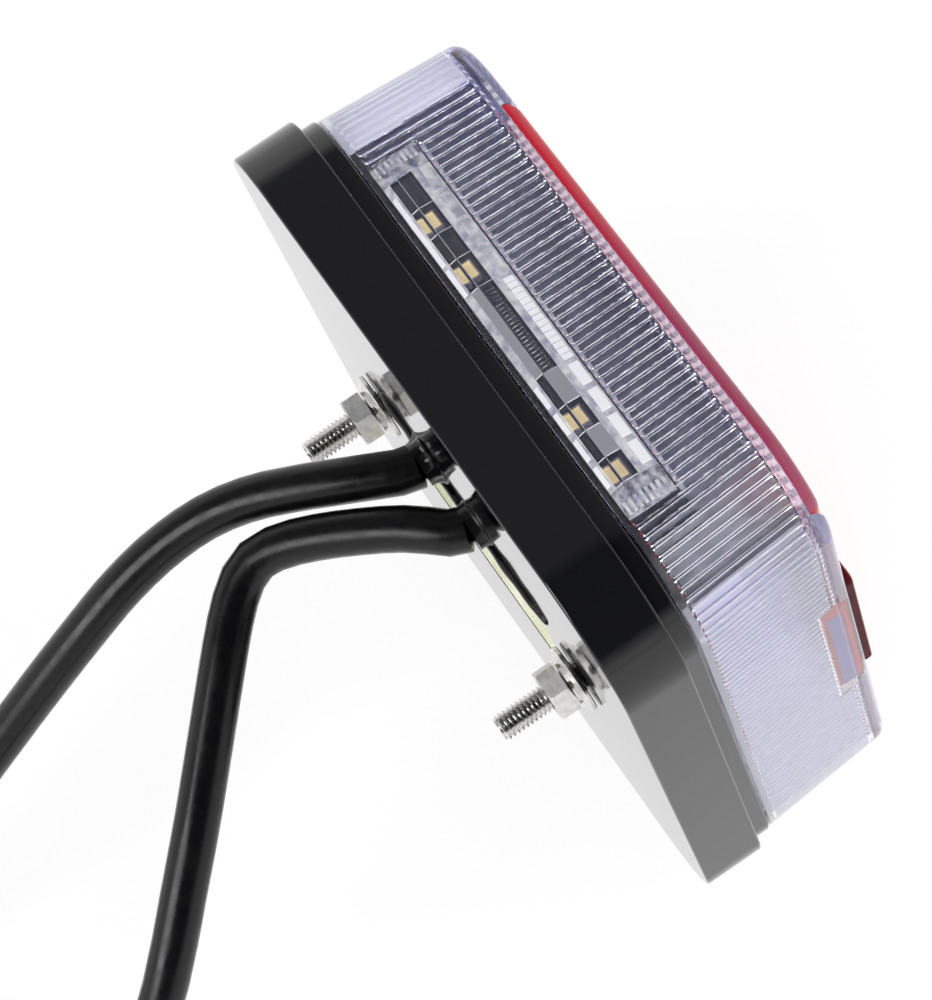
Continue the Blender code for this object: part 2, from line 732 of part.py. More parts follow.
def smooth_route(points, step):
    """Points a step apart on a smooth curve through a route's own points."""
    ends = [2 * points[0] - points[1], *points, 2 * points[-1] - points[-2]]
    fine = []
    for p0, p1, p2, p3 in zip(ends, ends[1:], ends[2:], ends[3:]):
        for i in range(20):
            t = i / 20
            fine.append(0.5 * (
                2 * p1 + (p2 - p0) * t + (2 * p0 - 5 * p1 + 4 * p2 - p3) * t**2
                + (3 * p1 - p0 - 3 * p2 + p3) * t**3
            ))
    fine.append(points[-1])
    runs = [0.0]
    for first, second in zip(fine, fine[1:]):
        runs.append(runs[-1] + (second - first).length)
    count = max(2, round(runs[-1] / step))
    even = []
    k = 0
    for i in range(count + 1):
        want = runs[-1] * i / count
        while k < len(runs) - 2 and runs[k + 1] < want:
            k += 1
        share = (want - runs[k]) / (runs[k + 1] - runs[k])
        even.append(fine[k].lerp(fine[k + 1], share))
    return even, runs[-1]


def tube(name, points, radius, resolution, look):
    """A round tube with closed ends along a path."""
    curve = bpy.data.curves.new(name, "CURVE")
    curve.dimensions = "3D"
    curve.bevel_depth = radius
    curve.bevel_resolution = resolution
    curve.use_fill_caps = True
    spline = curve.splines.new("POLY")
    spline.points.add(len(points) - 1)
    for target, point in zip(spline.points, points):
        target.co = (*point, 1.0)
    place(name, curve, look)


def coil_point(radius, angle, height):
    centre = Vector((COIL_CENTRE[0], BACK_Y + COIL_CENTRE[1], 0.0))
    return centre + Vector((radius * math.cos(angle), radius * math.sin(angle), height))


def ease(t):
    t = min(max(t, 0.0), 1.0)
    return t * t * (3 - 2 * t)


def coil_height(turned, total):
    """Loops start on the upper layer and drop to the lower one clear of the coil's own end."""
    drop = total - 2 * math.pi + COIL_END_ROOM
    return COIL_BASE + LAYER_STEP * (1 - ease((turned - drop) / LAYER_DROP_ANGLE))


def least_gap(points, diameter):
    """The least gap between parts of a path that lie well apart along it."""
    apart = POINTS_PER_LOOP // 2
    gaps = [
        (points[i] - points[j]).length - diameter
        for i in range(len(points))
        for j in range(i + apart, len(points))
    ]
    return min(gaps, default=0.0)


def cable_exit(cable):
    """Where a lead starts, just off the outer face of its seal."""
    off = 2 * CLEARANCE + seal_heights()[cable]
    return MIDDLE + Vector((cable_places()[cable], off, CABLE_LIFT))


def make_cable(cable, route, radius, start, turn, jacket, core_look):
    """One lead: the free stretch, the coil of the rest of its length, and its bare cores."""
    first = cable_exit(cable)
    stub = first + Vector((0.0, CABLE_STUB, 0.0))
    points = [Vector((x * MM, BACK_Y + y * MM, z * MM)) for x, y, z in route]
    heading = Vector((-math.sin(start), math.cos(start), 0.0)) * turn
    join = coil_point(radius, start, COIL_BASE + LAYER_STEP) - heading * CABLE_DIAMETER
    last = join - heading * CLEARANCE
    last_stub = last - heading * CABLE_STUB
    free, run = smooth_route([first, stub, *points, last_stub, last], ROUTE_STEP)
    free.insert(1, stub)
    free.insert(-1, last_stub)
    tube(f"{cable}_cable", free, CABLE_RADIUS, 3, jacket)
    total = (CABLE_LENGTH - run - CABLE_DIAMETER) / radius
    count = round(POINTS_PER_LOOP * total / (2 * math.pi))
    turns = [total * i / count for i in range(count + 1)]
    turns.insert(-1, total - CABLE_STUB / radius)
    coil = [join]
    coil += [coil_point(radius, start + turn * t, coil_height(t, total)) for t in turns]
    tube(f"{cable}_coil", coil, CABLE_RADIUS, 1, jacket)
    print(f"{cable}_coil least gap to itself {least_gap(coil, CABLE_DIAMETER) / MM:.2f} mm")
    make_cores(cable, radius, start, turn, total, core_look)


def coil_section(radius, angle, height, size):
    """A circle square to the coil's path."""
    turns = [2 * math.pi * i / 8 for i in range(8)]
    return [coil_point(radius + size * math.cos(a), angle, height + size * math.sin(a)) for a in turns]


def make_cores(cable, radius, start, turn, total, look):
    """The bare far end: insulated cores that leave a short filler, along the coil's own circle."""
    first = start + turn * (total + CLEARANCE / radius)
    step = turn / radius
    size = FILLER_DIAMETER / 2
    ends = (first, first + step * FILLER_LENGTH)
    filler = skin(f"{cable}_cores", [coil_section(radius, a, COIL_BASE, size) for a in ends], look)
    cores = []
    for k in range(CORES_PER_CABLE):
        a = 2 * math.pi * (k + 0.5) / CORES_PER_CABLE
        ring = radius + CORE_RING * math.cos(a)
        height = COIL_BASE + CORE_RING * math.sin(a)
        runs = [FILLER_LENGTH / 2 + CORE_LENGTH * i / 5 for i in range(6)]
        cores.append([coil_section(ring, first + step * run, height, CORE_DIAMETER / 2) for run in runs])
    boolean(filler, helper(f"{cable}_core_bodies", cores), "UNION")


def tie_loop(grow, shift):
    """A rounded loop round both coils' turns, shifted along them."""
    inner = LINK_COIL_RADIUS - CABLE_RADIUS - grow
    outer = SUPPLY_COIL_RADIUS + CABLE_RADIUS + grow
    low = COIL_BASE - CABLE_RADIUS - grow
    high = COIL_BASE + LAYER_STEP + CABLE_RADIUS + grow
    return rounded(inner, outer, low, high, [TIE_CORNER] * 4, -shift, 2)


def make_ties(look):
    half = TIE_WIDTH / 2
    thick = CLEARANCE + TIE_THICKNESS
    sides = [(thick, -half), (thick, half), (CLEARANCE, half), (CLEARANCE, -half)]
    for i, angle in enumerate(TIE_ANGLES, 1):
        loops = [tie_loop(grow, shift) for grow, shift in sides]
        tie = skin(f"coil_tie_{i}", loops, look, coil_point(0.0, 0.0, 0.0), closed=True)
        tie.rotation_euler.z = angle


def main():
    clear_scene()
    black = material("gloss_black", (0.012, 0.012, 0.014), 0.12)
    clear = material("clear_plastic", (0.85, 0.86, 0.92), 0.05, alpha=0.35)
    red = material("red_plastic", (0.55, 0.01, 0.03), 0.1, alpha=0.8)
    rubber = material("black_rubber", (0.02, 0.02, 0.02), 0.6)
    steel = material("bright_steel", (0.75, 0.74, 0.72), 0.2, metallic=1.0)
    resin = material("epoxy", (0.45, 0.46, 0.2), 0.15)
    white_board = material("white_board", (0.8, 0.8, 0.78), 0.4)
    dark_board = material("dark_board", (0.03, 0.035, 0.05), 0.35)
    shade = material("dark_shade", (0.05, 0.05, 0.06), 0.5)
    white_led = material("white_led", (0.85, 0.72, 0.35), 0.3)
    red_led = material("red_led", (0.7, 0.08, 0.05), 0.3)
    amber_led = material("amber_led", (0.8, 0.4, 0.05), 0.3)
    jacket = material("cable_jacket", (0.01, 0.01, 0.012), 0.25)
    core = material("core_insulation", (0.35, 0.12, 0.05), 0.4)
    nylon = material("tie_nylon", (0.02, 0.02, 0.02), 0.45)

    make_housing(black)
    make_potting(resin)
    make_lens_cover(clear)
    make_red_front(red)
    make_reflector(red)
    make_lens_seal(rubber)
    make_main_board(white_board)
    make_board_parts(red_led, amber_led, dark_board, steel)
    make_divider(shade)
    make_plate_light(dark_board, white_led, shade)
    for side, x in stud_places().items():
        make_stud(side, x, steel)
        make_nut(side, x, steel, steel)
    for cable, x in cable_places().items():
        make_cable_entry(cable, x, rubber, core)
    make_cable("link", LINK_ROUTE, LINK_COIL_RADIUS, LINK_COIL_START, 1, jacket, core)
    make_cable("supply", SUPPLY_ROUTE, SUPPLY_COIL_RADIUS, SUPPLY_COIL_START, -1, jacket, core)
    make_ties(nylon)


main()
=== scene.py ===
# %% [markdown]
# # A trailer tail light
# This lesson dresses a square tail light. The frame already holds every piece as a plain solid of
# its real size, so nothing here changes a size: a piece that looks too plain is made again with a
# finer mesh, and every piece gets a material. The lamp stands on one long side with its number
# plate window up. Its front faces -Y and its back faces +Y, and depths are measured from the flat
# back towards the front.

# %% Load the frame and take the main sizes from it
import math

import bmesh
import bpy
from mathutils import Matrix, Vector


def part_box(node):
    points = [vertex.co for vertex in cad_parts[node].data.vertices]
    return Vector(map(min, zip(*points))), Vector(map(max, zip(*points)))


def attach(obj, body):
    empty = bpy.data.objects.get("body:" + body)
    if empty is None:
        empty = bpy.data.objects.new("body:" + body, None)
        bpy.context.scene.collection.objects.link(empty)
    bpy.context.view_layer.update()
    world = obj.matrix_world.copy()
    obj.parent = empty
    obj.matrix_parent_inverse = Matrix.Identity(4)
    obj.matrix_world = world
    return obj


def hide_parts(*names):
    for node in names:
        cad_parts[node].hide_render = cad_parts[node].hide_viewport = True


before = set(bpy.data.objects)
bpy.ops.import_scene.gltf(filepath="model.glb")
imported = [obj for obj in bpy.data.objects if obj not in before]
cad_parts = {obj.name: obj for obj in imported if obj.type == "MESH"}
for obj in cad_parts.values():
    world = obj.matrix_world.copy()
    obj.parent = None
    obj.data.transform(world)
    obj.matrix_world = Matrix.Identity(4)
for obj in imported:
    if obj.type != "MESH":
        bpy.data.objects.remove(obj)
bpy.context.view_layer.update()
MM = 0.001
BASE_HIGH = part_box("housing")[1]
COVER_LOW, COVER_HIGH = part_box("lens_cover")
BACK_Y = BASE_HIGH[1]
HALF_LENGTH = BASE_HIGH[0]
HEIGHT = BASE_HIGH[2]
FOOT = BACK_Y - COVER_HIGH[1]
FRONT = BACK_Y - COVER_LOW[1]
print(f"back at y {BACK_Y:.5f}, cover from depth {FOOT:.4f} to {FRONT:.4f}")

# %% [markdown]
# ## The camera
# The lamp is seen from high above its near end, almost along its back. A camera can be aimed by
# hand or by a Track To constraint. Here its place and its three directions come from a fit of the
# lamp's own edges, so they are written straight into its matrix. The vertical sensor fit keeps the
# same field whatever the picture's width is.

# %% Camera
CAMERA_PLACE = Vector((-0.19229, BACK_Y + 0.02467, 0.45884))
CAMERA_RIGHT = Vector((-0.526, -0.826, -0.202)).normalized()
CAMERA_UP = Vector((0.730, -0.561, 0.390)).normalized()
SENSOR = 36.0
FOCAL_SHARE = 3.28407


def make_camera():
    data = bpy.data.cameras.new("camera")
    data.sensor_fit = "VERTICAL"
    data.sensor_height = SENSOR
    data.lens = SENSOR * FOCAL_SHARE
    data.clip_start = 0.01
    camera = bpy.data.objects.new("camera", data)
    bpy.context.scene.collection.objects.link(camera)
    back = CAMERA_RIGHT.cross(CAMERA_UP).normalized()
    up = back.cross(CAMERA_RIGHT)
    for row in range(3):
        camera.matrix_world[row][0] = CAMERA_RIGHT[row]
        camera.matrix_world[row][1] = up[row]
        camera.matrix_world[row][2] = back[row]
        camera.matrix_world[row][3] = CAMERA_PLACE[row]
    bpy.context.scene.camera = camera
    return camera


camera = make_camera()
print("lens", round(camera.data.lens, 2), "mm")

# %% [markdown]
# ## Helpers for finishes
# A real surface is never quite even: its gloss and its colour wander a little. Painted image
# textures could show that, but they need files and unwrapped meshes. Procedural noise in the
# object's own coordinates needs neither. So a few helpers make a Principled shader, lay noise or a
# gradient over it, and turn noise into a fine bump. What is the same all over a surface goes
# straight on the shader's socket.

# %% A plain shader
def finish(name, colour, roughness, metallic=0.0):
    """A Principled material. Returns the material and its shader."""
    made = bpy.data.materials.new(name)
    made.use_nodes = True
    shader = made.node_tree.nodes["Principled BSDF"]
    shader.inputs["Base Color"].default_value = (*colour, 1.0)
    shader.inputs["Roughness"].default_value = roughness
    shader.inputs["Metallic"].default_value = metallic
    return made, shader


# %% Noise and gradients in the object's own space
def noise(made, scale, detail=3.0, stretch=(1.0, 1.0, 1.0)):
    """Noise over the object's own coordinates. Its scale is in waves per metre."""
    nodes = made.node_tree.nodes
    links = made.node_tree.links
    where = nodes.new("ShaderNodeTexCoord")
    mapping = nodes.new("ShaderNodeMapping")
    mapping.inputs["Scale"].default_value = stretch
    texture = nodes.new("ShaderNodeTexNoise")
    texture.inputs["Scale"].default_value = scale
    texture.inputs["Detail"].default_value = detail
    links.new(where.outputs["Object"], mapping.inputs["Vector"])
    links.new(mapping.outputs["Vector"], texture.inputs["Vector"])
    return texture.outputs["Fac"]


def across(made, axis, start, end):
    """Runs from 0 to 1 between two places along an axis of the object."""
    where = made.node_tree.nodes.new("ShaderNodeTexCoord")
    split = made.node_tree.nodes.new("ShaderNodeSeparateXYZ")
    ranged = made.node_tree.nodes.new("ShaderNodeMapRange")
    ranged.inputs["From Min"].default_value = start
    ranged.inputs["From Max"].default_value = end
    made.node_tree.links.new(where.outputs["Object"], split.inputs["Vector"])
    made.node_tree.links.new(split.outputs[axis], ranged.inputs["Value"])
    return ranged.outputs["Result"]


# %% Sockets that follow a texture
def vary(made, shader, socket, source, low, high):
    """Runs a socket between two numbers by a texture."""
    ranged = made.node_tree.nodes.new("ShaderNodeMapRange")
    ranged.inputs["From Min"].default_value = 0.3
    ranged.inputs["From Max"].default_value = 0.7
    ranged.inputs["To Min"].default_value = low
    ranged.inputs["To Max"].default_value = high
    made.node_tree.links.new(source, ranged.inputs["Value"])
    made.node_tree.links.new(ranged.outputs["Result"], shader.inputs[socket])


def tint(made, shader, source, first, second):
    """Mixes the base colour between two colours by a texture."""
    ramp = made.node_tree.nodes.new("ShaderNodeValToRGB")
    ramp.color_ramp.elements[0].position = 0.35
    ramp.color_ramp.elements[0].color = (*first, 1.0)
    ramp.color_ramp.elements[1].position = 0.65
    ramp.color_ramp.elements[1].color = (*second, 1.0)
    made.node_tree.links.new(source, ramp.inputs["Fac"])
    made.node_tree.links.new(ramp.outputs["Color"], shader.inputs["Base Color"])


def bump(made, shader, source, distance, strength):
    """Raises the surface's shading by a texture, to a height in metres."""
    node = made.node_tree.nodes.new("ShaderNodeBump")
    node.inputs["Distance"].default_value = distance
    node.inputs["Strength"].default_value = strength
    made.node_tree.links.new(source, node.inputs["Height"])
    made.node_tree.links.new(node.outputs["Normal"], shader.inputs["Normal"])


# %% [markdown]
# ## Black moulding
# The base is gloss black plastic. A mix of a diffuse and a glossy shader could give it, but one
# Principled shader holds both. Its roughness wanders between two small values, because a perfectly
# even gloss looks like paint in a drawing.

# %% Gloss black
def black_gloss():
    made, shader = finish("black_gloss", (0.0045, 0.0047, 0.0055), 0.04)
    vary(made, shader, "Roughness", noise(made, 260.0, 4.0), 0.02, 0.07)
    bump(made, shader, noise(made, 90.0, 2.0), 0.00001, 0.2)
    return made


LOOKS = {"black": black_gloss()}

# %% [markdown]
# ## Clear acrylic
# The cover is clear acrylic with a lavender cast that deepens where it is thick. A tinted Glass
# shader would colour thin and thick parts alike, so here the cast is a volume absorption. Lamps
# that shine through glass need very many samples, so shadow rays meet a plain tint instead. The
# same plastic with less transmission is milky, and clouds change it from place to place. Bands
# paint in the light and shade of the bars seen through the thick rim, and an upright fade paints
# light that makes a finish paler towards the top.

# %% Clear plastic
def let_light_in(made, shader, colour):
    """Lets lamps shine through a clear piece: its shadow is a tint and not solid."""
    nodes = made.node_tree.nodes
    links = made.node_tree.links
    path = nodes.new("ShaderNodeLightPath")
    through = nodes.new("ShaderNodeBsdfTransparent")
    through.inputs["Color"].default_value = (*colour, 1.0)
    mix = nodes.new("ShaderNodeMixShader")
    links.new(path.outputs["Is Shadow Ray"], mix.inputs["Fac"])
    links.new(shader.outputs["BSDF"], mix.inputs[1])
    links.new(through.outputs["BSDF"], mix.inputs[2])
    links.new(mix.outputs["Shader"], nodes["Material Output"].inputs["Surface"])


ACRYLIC_IOR = 1.49


def clear_acrylic(name, roughness, colour=(0.965, 0.965, 0.985), clear=1.0, grain=0.00002, waves=1300.0):
    """Clear plastic with a lavender cast that deepens with its thickness. Less clear is more milky."""
    made, shader = finish(name, colour, roughness)
    shader.inputs["Transmission Weight"].default_value = clear
    shader.inputs["IOR"].default_value = ACRYLIC_IOR
    bump(made, shader, noise(made, waves, 2.0, (1.0, 0.22, 1.0)), grain, 0.4)
    let_light_in(made, shader, (0.93, 0.93, 0.97))
    cast = made.node_tree.nodes.new("ShaderNodeVolumeAbsorption")
    cast.inputs["Color"].default_value = (0.60, 0.61, 0.90, 1.0)
    cast.inputs["Density"].default_value = 14.0
    output = made.node_tree.nodes["Material Output"]
    made.node_tree.links.new(cast.outputs["Volume"], output.inputs["Volume"])
    return made


# %% Bands, clouds and an upright fade
def painted_bands(made, pitch, first, second):
    """Paints soft bands of light and shade along x into a finish: the bars seen through a thick rim."""
    where = made.node_tree.nodes.new("ShaderNodeTexCoord")
    wave = made.node_tree.nodes.new("ShaderNodeTexWave")
    wave.inputs["Scale"].default_value = math.pi / (10 * pitch)
    wave.inputs["Distortion"].default_value = 0.6
    made.node_tree.links.new(where.outputs["Object"], wave.inputs["Vector"])
    tint(made, made.node_tree.nodes["Principled BSDF"], wave.outputs["Fac"], first, second)
    return made


def clouded(made, waves, first, second):
    """Lays soft clouds of two colours into a finish."""
    tint(made, made.node_tree.nodes["Principled BSDF"], noise(made, waves, 3.0), first, second)
    return made


def upright_fade_with_painted_light(made, low, high):
    """Lets a finish grow clearer and smoother from the bottom of the lamp to its top, with painted light
    that makes its top paler.
    """
    shader = made.node_tree.nodes["Principled BSDF"]
    rise = across(made, "Z", 0.2 * HEIGHT, 0.9 * HEIGHT)
    vary(made, shader, "Roughness", rise, 0.22, 0.07)
    vary(made, shader, "Transmission Weight", rise, 0.38, 0.66)
    tint(made, shader, rise, low, high)
    return made


# %% Finishes of the cover
# Pitch of the painted bands of light and shade on the rim, close to the bars' own pitch.
RIM_BAND = 1.44 * MM
LOOKS.update({
    "clear": clear_acrylic("clear_acrylic", 0.02),
    "bars": clear_acrylic("bar_acrylic", 0.02, grain=0.00032, waves=2600.0),
    # A dark tint for the last bars before the near end: painted shade, since nothing bright stands behind
    # them.
    "shade": clear_acrylic("shade_acrylic", 0.03, (0.12, 0.12, 0.15), 0.85),
    # The ribbed near end gets painted light: it is paler towards its top.
    "ribbed": upright_fade_with_painted_light(
        clear_acrylic("ribbed_acrylic", 0.12), (0.43, 0.435, 0.51), (0.53, 0.535, 0.62),
    ),
    "pale": clear_acrylic("pale_acrylic", 0.10, (0.64, 0.645, 0.72), 0.40),
    "edge": clear_acrylic("edge_acrylic", 0.05, (0.74, 0.74, 0.93), 0.88),
    # The rim's bands are painted light and shade of the bars behind it.
    "rim": painted_bands(
        clear_acrylic("rim_acrylic", 0.10, clear=0.45), RIM_BAND, (0.42, 0.42, 0.50), (0.80, 0.79, 0.86),
    ),
    "frame": clouded(
        clear_acrylic("frame_acrylic", 0.10, clear=0.50), 650.0, (0.48, 0.48, 0.62), (0.97, 0.97, 0.99),
    ),
    "hip": clouded(
        clear_acrylic("hip_acrylic", 0.08, clear=0.60), 800.0, (0.20, 0.21, 0.28), (0.90, 0.90, 0.96),
    ),
    # The white of the pads is a painted reflection of a bright light; on the far half it is duller and
    # clouded.
    "pad": clear_acrylic("pad_painted_reflection", 0.25, (0.88, 0.88, 0.92), 0.25),
    "far_pad": clouded(
        clear_acrylic("far_pad_painted_reflection", 0.15, clear=0.45), 420.0, (0.42, 0.42, 0.52), (0.95, 0.95, 0.98),
    ),
    "cloudy": clear_acrylic("cloudy_acrylic", 0.30, (0.50, 0.50, 0.56), 0.60),
})
print("finishes so far:", ", ".join(LOOKS))

# %% [markdown]
# ## Red acrylic
# The front plate and the reflector are red acrylic. They could be clear plastic round a red volume,
# but a red surface keeps its colour at every thickness. The plate's rim is bright where clear
# plastic lets light in behind it and duller at the other end, so its colour fades along the lamp.
# The reflector's sides hardly mirror, so they get a plain dull finish.

# %% Red plastic
def red_acrylic(name, colour, clear):
    made, shader = finish(name, colour, 0.06)
    shader.inputs["Transmission Weight"].default_value = clear
    shader.inputs["IOR"].default_value = ACRYLIC_IOR
    vary(made, shader, "Roughness", noise(made, 300.0), 0.05, 0.12)
    let_light_in(made, shader, (0.75, 0.05, 0.06))
    return made


def lengthways_fade(made, near, far):
    """Lets a finish change its colour from the near end of the lamp to the far end."""
    along = across(made, "X", -HALF_LENGTH, HALF_LENGTH)
    tint(made, made.node_tree.nodes["Principled BSDF"], along, near, far)
    return made


def dull(name, colour):
    """A plain moulded side that hardly mirrors."""
    made, shader = finish(name, colour, 0.5)
    shader.inputs["Specular IOR Level"].default_value = 0.08
    tint(made, shader, noise(made, 500.0), tuple(0.8 * c for c in colour), tuple(1.2 * c for c in colour))
    return made


LOOKS.update({
    "red": red_acrylic("red_acrylic", (0.52, 0.010, 0.03), 0.40),
    # The rim's colour, bright at the far end and duller at the near end, is painted light.
    "red_rim": lengthways_fade(
        red_acrylic("red_rim_acrylic", (0.48, 0.03, 0.08), 0.40), (0.34, 0.05, 0.12), (0.62, 0.015, 0.04),
    ),
    "reflector": red_acrylic("reflector_acrylic", (0.45, 0.01, 0.02), 0.60),
    "reflector_side": dull("reflector_side", (0.21, 0.002, 0.006)),
    "reflector_pane": dull("reflector_pane", (0.075, 0.05, 0.18)),
    "reflector_edge": dull("reflector_edge", (0.055, 0.005, 0.008)),
})
print(len(LOOKS), "finishes with the red ones")

# %% [markdown]
# ## Steel, sealant, rubber and resin
# Studs and washers are bright plated steel, and the nuts are duller. Steel could be one metallic
# colour, but plating is streaky, so one noise drives both its colour and its gloss. Sealant and
# sheath are nearly black: only their highlights show their form, so the specular level is given.
# The resin is a cloudy pale yellow.

# %% Steel and sealant
def plated_steel(name, metallic, smooth, rough):
    made, shader = finish(name, (0.74, 0.73, 0.71), smooth, metallic)
    streaks = noise(made, 900.0, 5.0)
    tint(made, shader, streaks, (0.62, 0.61, 0.59), (0.82, 0.81, 0.80))
    vary(made, shader, "Roughness", streaks, smooth, rough)
    bump(made, shader, noise(made, 2600.0, 3.0), 0.00001, 0.5)
    return made


def wet_sealant(name, roughness, lumps):
    made, shader = finish(name, (0.003, 0.003, 0.0035), roughness)
    shader.inputs["Specular IOR Level"].default_value = 0.32
    bump(made, shader, noise(made, 1200.0, 3.0), lumps, 0.4)
    return made


# %% Rubber, resin and sheath
def soft_rubber():
    made, shader = finish("soft_rubber", (0.018, 0.018, 0.019), 0.6)
    vary(made, shader, "Roughness", noise(made, 900.0), 0.5, 0.7)
    return made


def yellow_resin():
    made, shader = finish("yellow_resin", (0.68, 0.70, 0.48), 0.08)
    tint(made, shader, noise(made, 120.0, 2.0), (0.58, 0.61, 0.38), (0.78, 0.79, 0.60))
    bump(made, shader, noise(made, 200.0, 2.0), 0.0001, 0.3)
    return made


def black_sheath():
    made, shader = finish("black_sheath", (0.0025, 0.0025, 0.003), 0.26)
    shader.inputs["Specular IOR Level"].default_value = 0.32
    vary(made, shader, "Roughness", noise(made, 420.0, 5.0), 0.20, 0.36)
    bump(made, shader, noise(made, 1600.0, 3.0), 0.00002, 0.3)
    return made


LOOKS.update({
    "steel": plated_steel("plated_steel", 1.0, 0.10, 0.30),
    "satin": plated_steel("satin_steel", 0.5, 0.28, 0.42),
    "sealant": wet_sealant("wet_sealant", 0.16, 0.0001),
    "film": wet_sealant("sealant_film", 0.28, 0.00003),
    "rubber": soft_rubber(),
    "resin": yellow_resin(),
    "sheath": black_sheath(),
})
print(len(LOOKS), "finishes with steel and rubber")

# %% [markdown]
# ## Electrical finishes
# The small parts inside only need a colour that wanders a little, so one function gives them all. A
# circuit board has fields and lines of copper under its lacquer. A drawing of them could be laid on
# as an image, but the layout can't be seen from outside, so a brick texture suggests it. The
# phosphor of the white LEDs gets a faint painted glow, which brightens its yellow though the LEDs
# are not lit.

# %% Speckled parts and boards
def speckled(name, colour, roughness, spread, metallic=0.0, scale=900.0):
    """A small part's finish: its colour wanders a little and so does its gloss."""
    made, shader = finish(name, colour, roughness, metallic)
    source = noise(made, scale, 3.0)
    low = tuple(channel * (1 - spread) for channel in colour)
    high = tuple(min(channel * (1 + spread), 1.0) for channel in colour)
    tint(made, shader, source, low, high)
    vary(made, shader, "Roughness", source, roughness * 0.8, min(roughness * 1.25, 1.0))
    return made


def solder_mask(name, mask, copper):
    """A lacquered board whose buried copper shows as paler fields and lines."""
    made, shader = finish(name, mask, 0.35)
    where = made.node_tree.nodes.new("ShaderNodeTexCoord")
    bricks = made.node_tree.nodes.new("ShaderNodeTexBrick")
    bricks.inputs["Scale"].default_value = 160.0
    bricks.inputs["Mortar Size"].default_value = 0.035
    bricks.inputs["Color1"].default_value = (*mask, 1.0)
    bricks.inputs["Color2"].default_value = (*(channel * 1.5 for channel in mask), 1.0)
    bricks.inputs["Mortar"].default_value = (*copper, 1.0)
    made.node_tree.links.new(where.outputs["Object"], bricks.inputs["Vector"])
    made.node_tree.links.new(bricks.outputs["Color"], shader.inputs["Base Color"])
    vary(made, shader, "Roughness", noise(made, 700.0), 0.28, 0.42)
    return made


# %% Finishes of the electrical parts
LOOKS.update({
    "package": speckled("white_package", (0.36, 0.34, 0.30), 0.4, 0.08),
    "phosphor": speckled("yellow_phosphor_painted_glow", (0.97, 0.82, 0.42), 0.5, 0.05),
    "red_resin": speckled("red_resin", (0.55, 0.05, 0.03), 0.25, 0.15),
    "amber_resin": speckled("amber_resin", (0.70, 0.27, 0.02), 0.25, 0.15),
    "chip": speckled("black_chip", (0.016, 0.016, 0.018), 0.45, 0.25),
    "divider": speckled("dark_shade", (0.20, 0.21, 0.23), 0.5, 0.25, scale=300.0),
    "white_board": solder_mask("white_board", (0.62, 0.62, 0.60), (0.75, 0.75, 0.72)),
    "dark_board": solder_mask("dark_board", (0.012, 0.014, 0.024), (0.030, 0.034, 0.050)),
    "filler": speckled("white_filler", (0.6, 0.6, 0.58), 0.8, 0.1),
    "core_white": speckled("core_white", (0.72, 0.72, 0.70), 0.45, 0.05),
    "core_green": speckled("core_green", (0.05, 0.26, 0.07), 0.45, 0.10),
    "core_yellow": speckled("core_yellow", (0.72, 0.55, 0.05), 0.45, 0.08),
    "core_brown": speckled("core_brown", (0.16, 0.07, 0.035), 0.45, 0.12),
    "copper": speckled("bare_copper", (0.72, 0.38, 0.24), 0.3, 0.12, 1.0),
    "nylon": speckled("black_nylon", (0.012, 0.012, 0.013), 0.4, 0.2),
})
# The phosphor gets a faint painted glow, though the LEDs are not lit.
phosphor = LOOKS["phosphor"].node_tree.nodes["Principled BSDF"]
phosphor.inputs["Emission Color"].default_value = (1.0, 0.78, 0.32, 1.0)
phosphor.inputs["Emission Strength"].default_value = 0.28
print(len(LOOKS), "finishes in all")

# %% [markdown]
# ## The leads
# Two round rubber-sheathed leads leave the back through wet sealant, bend over under their own
# weight and run down to the floor. What the picture doesn't show of each is wound into one neat
# ring outside the view. A physics simulation could drop them, but it would hardly land on the bends
# that the picture shows. So each lead is one curve from its seal to its cut end, read from a smooth
# line through points of its route, and a bevel makes it round.

# %% Routes, in millimetres: x, distance behind the back face, z
LINK_ROUTE = [
    (10.7, 10.6, 65.5), (14.5, 16.7, 64.5), (18.2, 23.1, 63.0), (20.7, 29.7, 61.0), (22.1, 37.3, 58.0),
    (22.4, 45.0, 54.5), (22.3, 52.6, 50.0), (22.2, 61.8, 44.0), (22.0, 72.0, 37.0), (21.4, 84.0, 29.3),
    (20.2, 97.0, 22.6), (18.6, 110.0, 17.4), (17.3, 124.0, 13.8),
]
SUPPLY_ROUTE = [
    (0.3, 8.7, 65.5), (6.2, 16.9, 64.0), (9.8, 23.3, 62.5), (10.8, 27.8, 61.0), (9.3, 31.4, 59.5),
    (6.6, 34.9, 58.0), (2.6, 39.2, 56.0), (-6.1, 48.6, 51.0), (-11.3, 54.3, 48.0), (-16.5, 60.7, 44.0),
    (-21.0, 66.5, 40.0), (-25.0, 73.0, 35.0), (-29.7, 84.0, 27.5), (-34.6, 97.0, 20.0),
    (-40.9, 109.3, 14.4),
]
LEADS = {
    "link": {
        "x": 6.4 * MM, "seal": 1.2 * MM, "route": LINK_ROUTE, "radius": 32.0 * MM,
        "start": 0.0, "turn": 1,
    },
    "supply": {
        "x": -5.5 * MM, "seal": 0.8 * MM, "route": SUPPLY_ROUTE, "radius": 39.0 * MM,
        "start": math.radians(212.0), "turn": -1,
    },
}
print(len(LINK_ROUTE), "and", len(SUPPLY_ROUTE), "points lead to the coil")

# %% A smooth line through a route
SPLINE_STEPS = 20


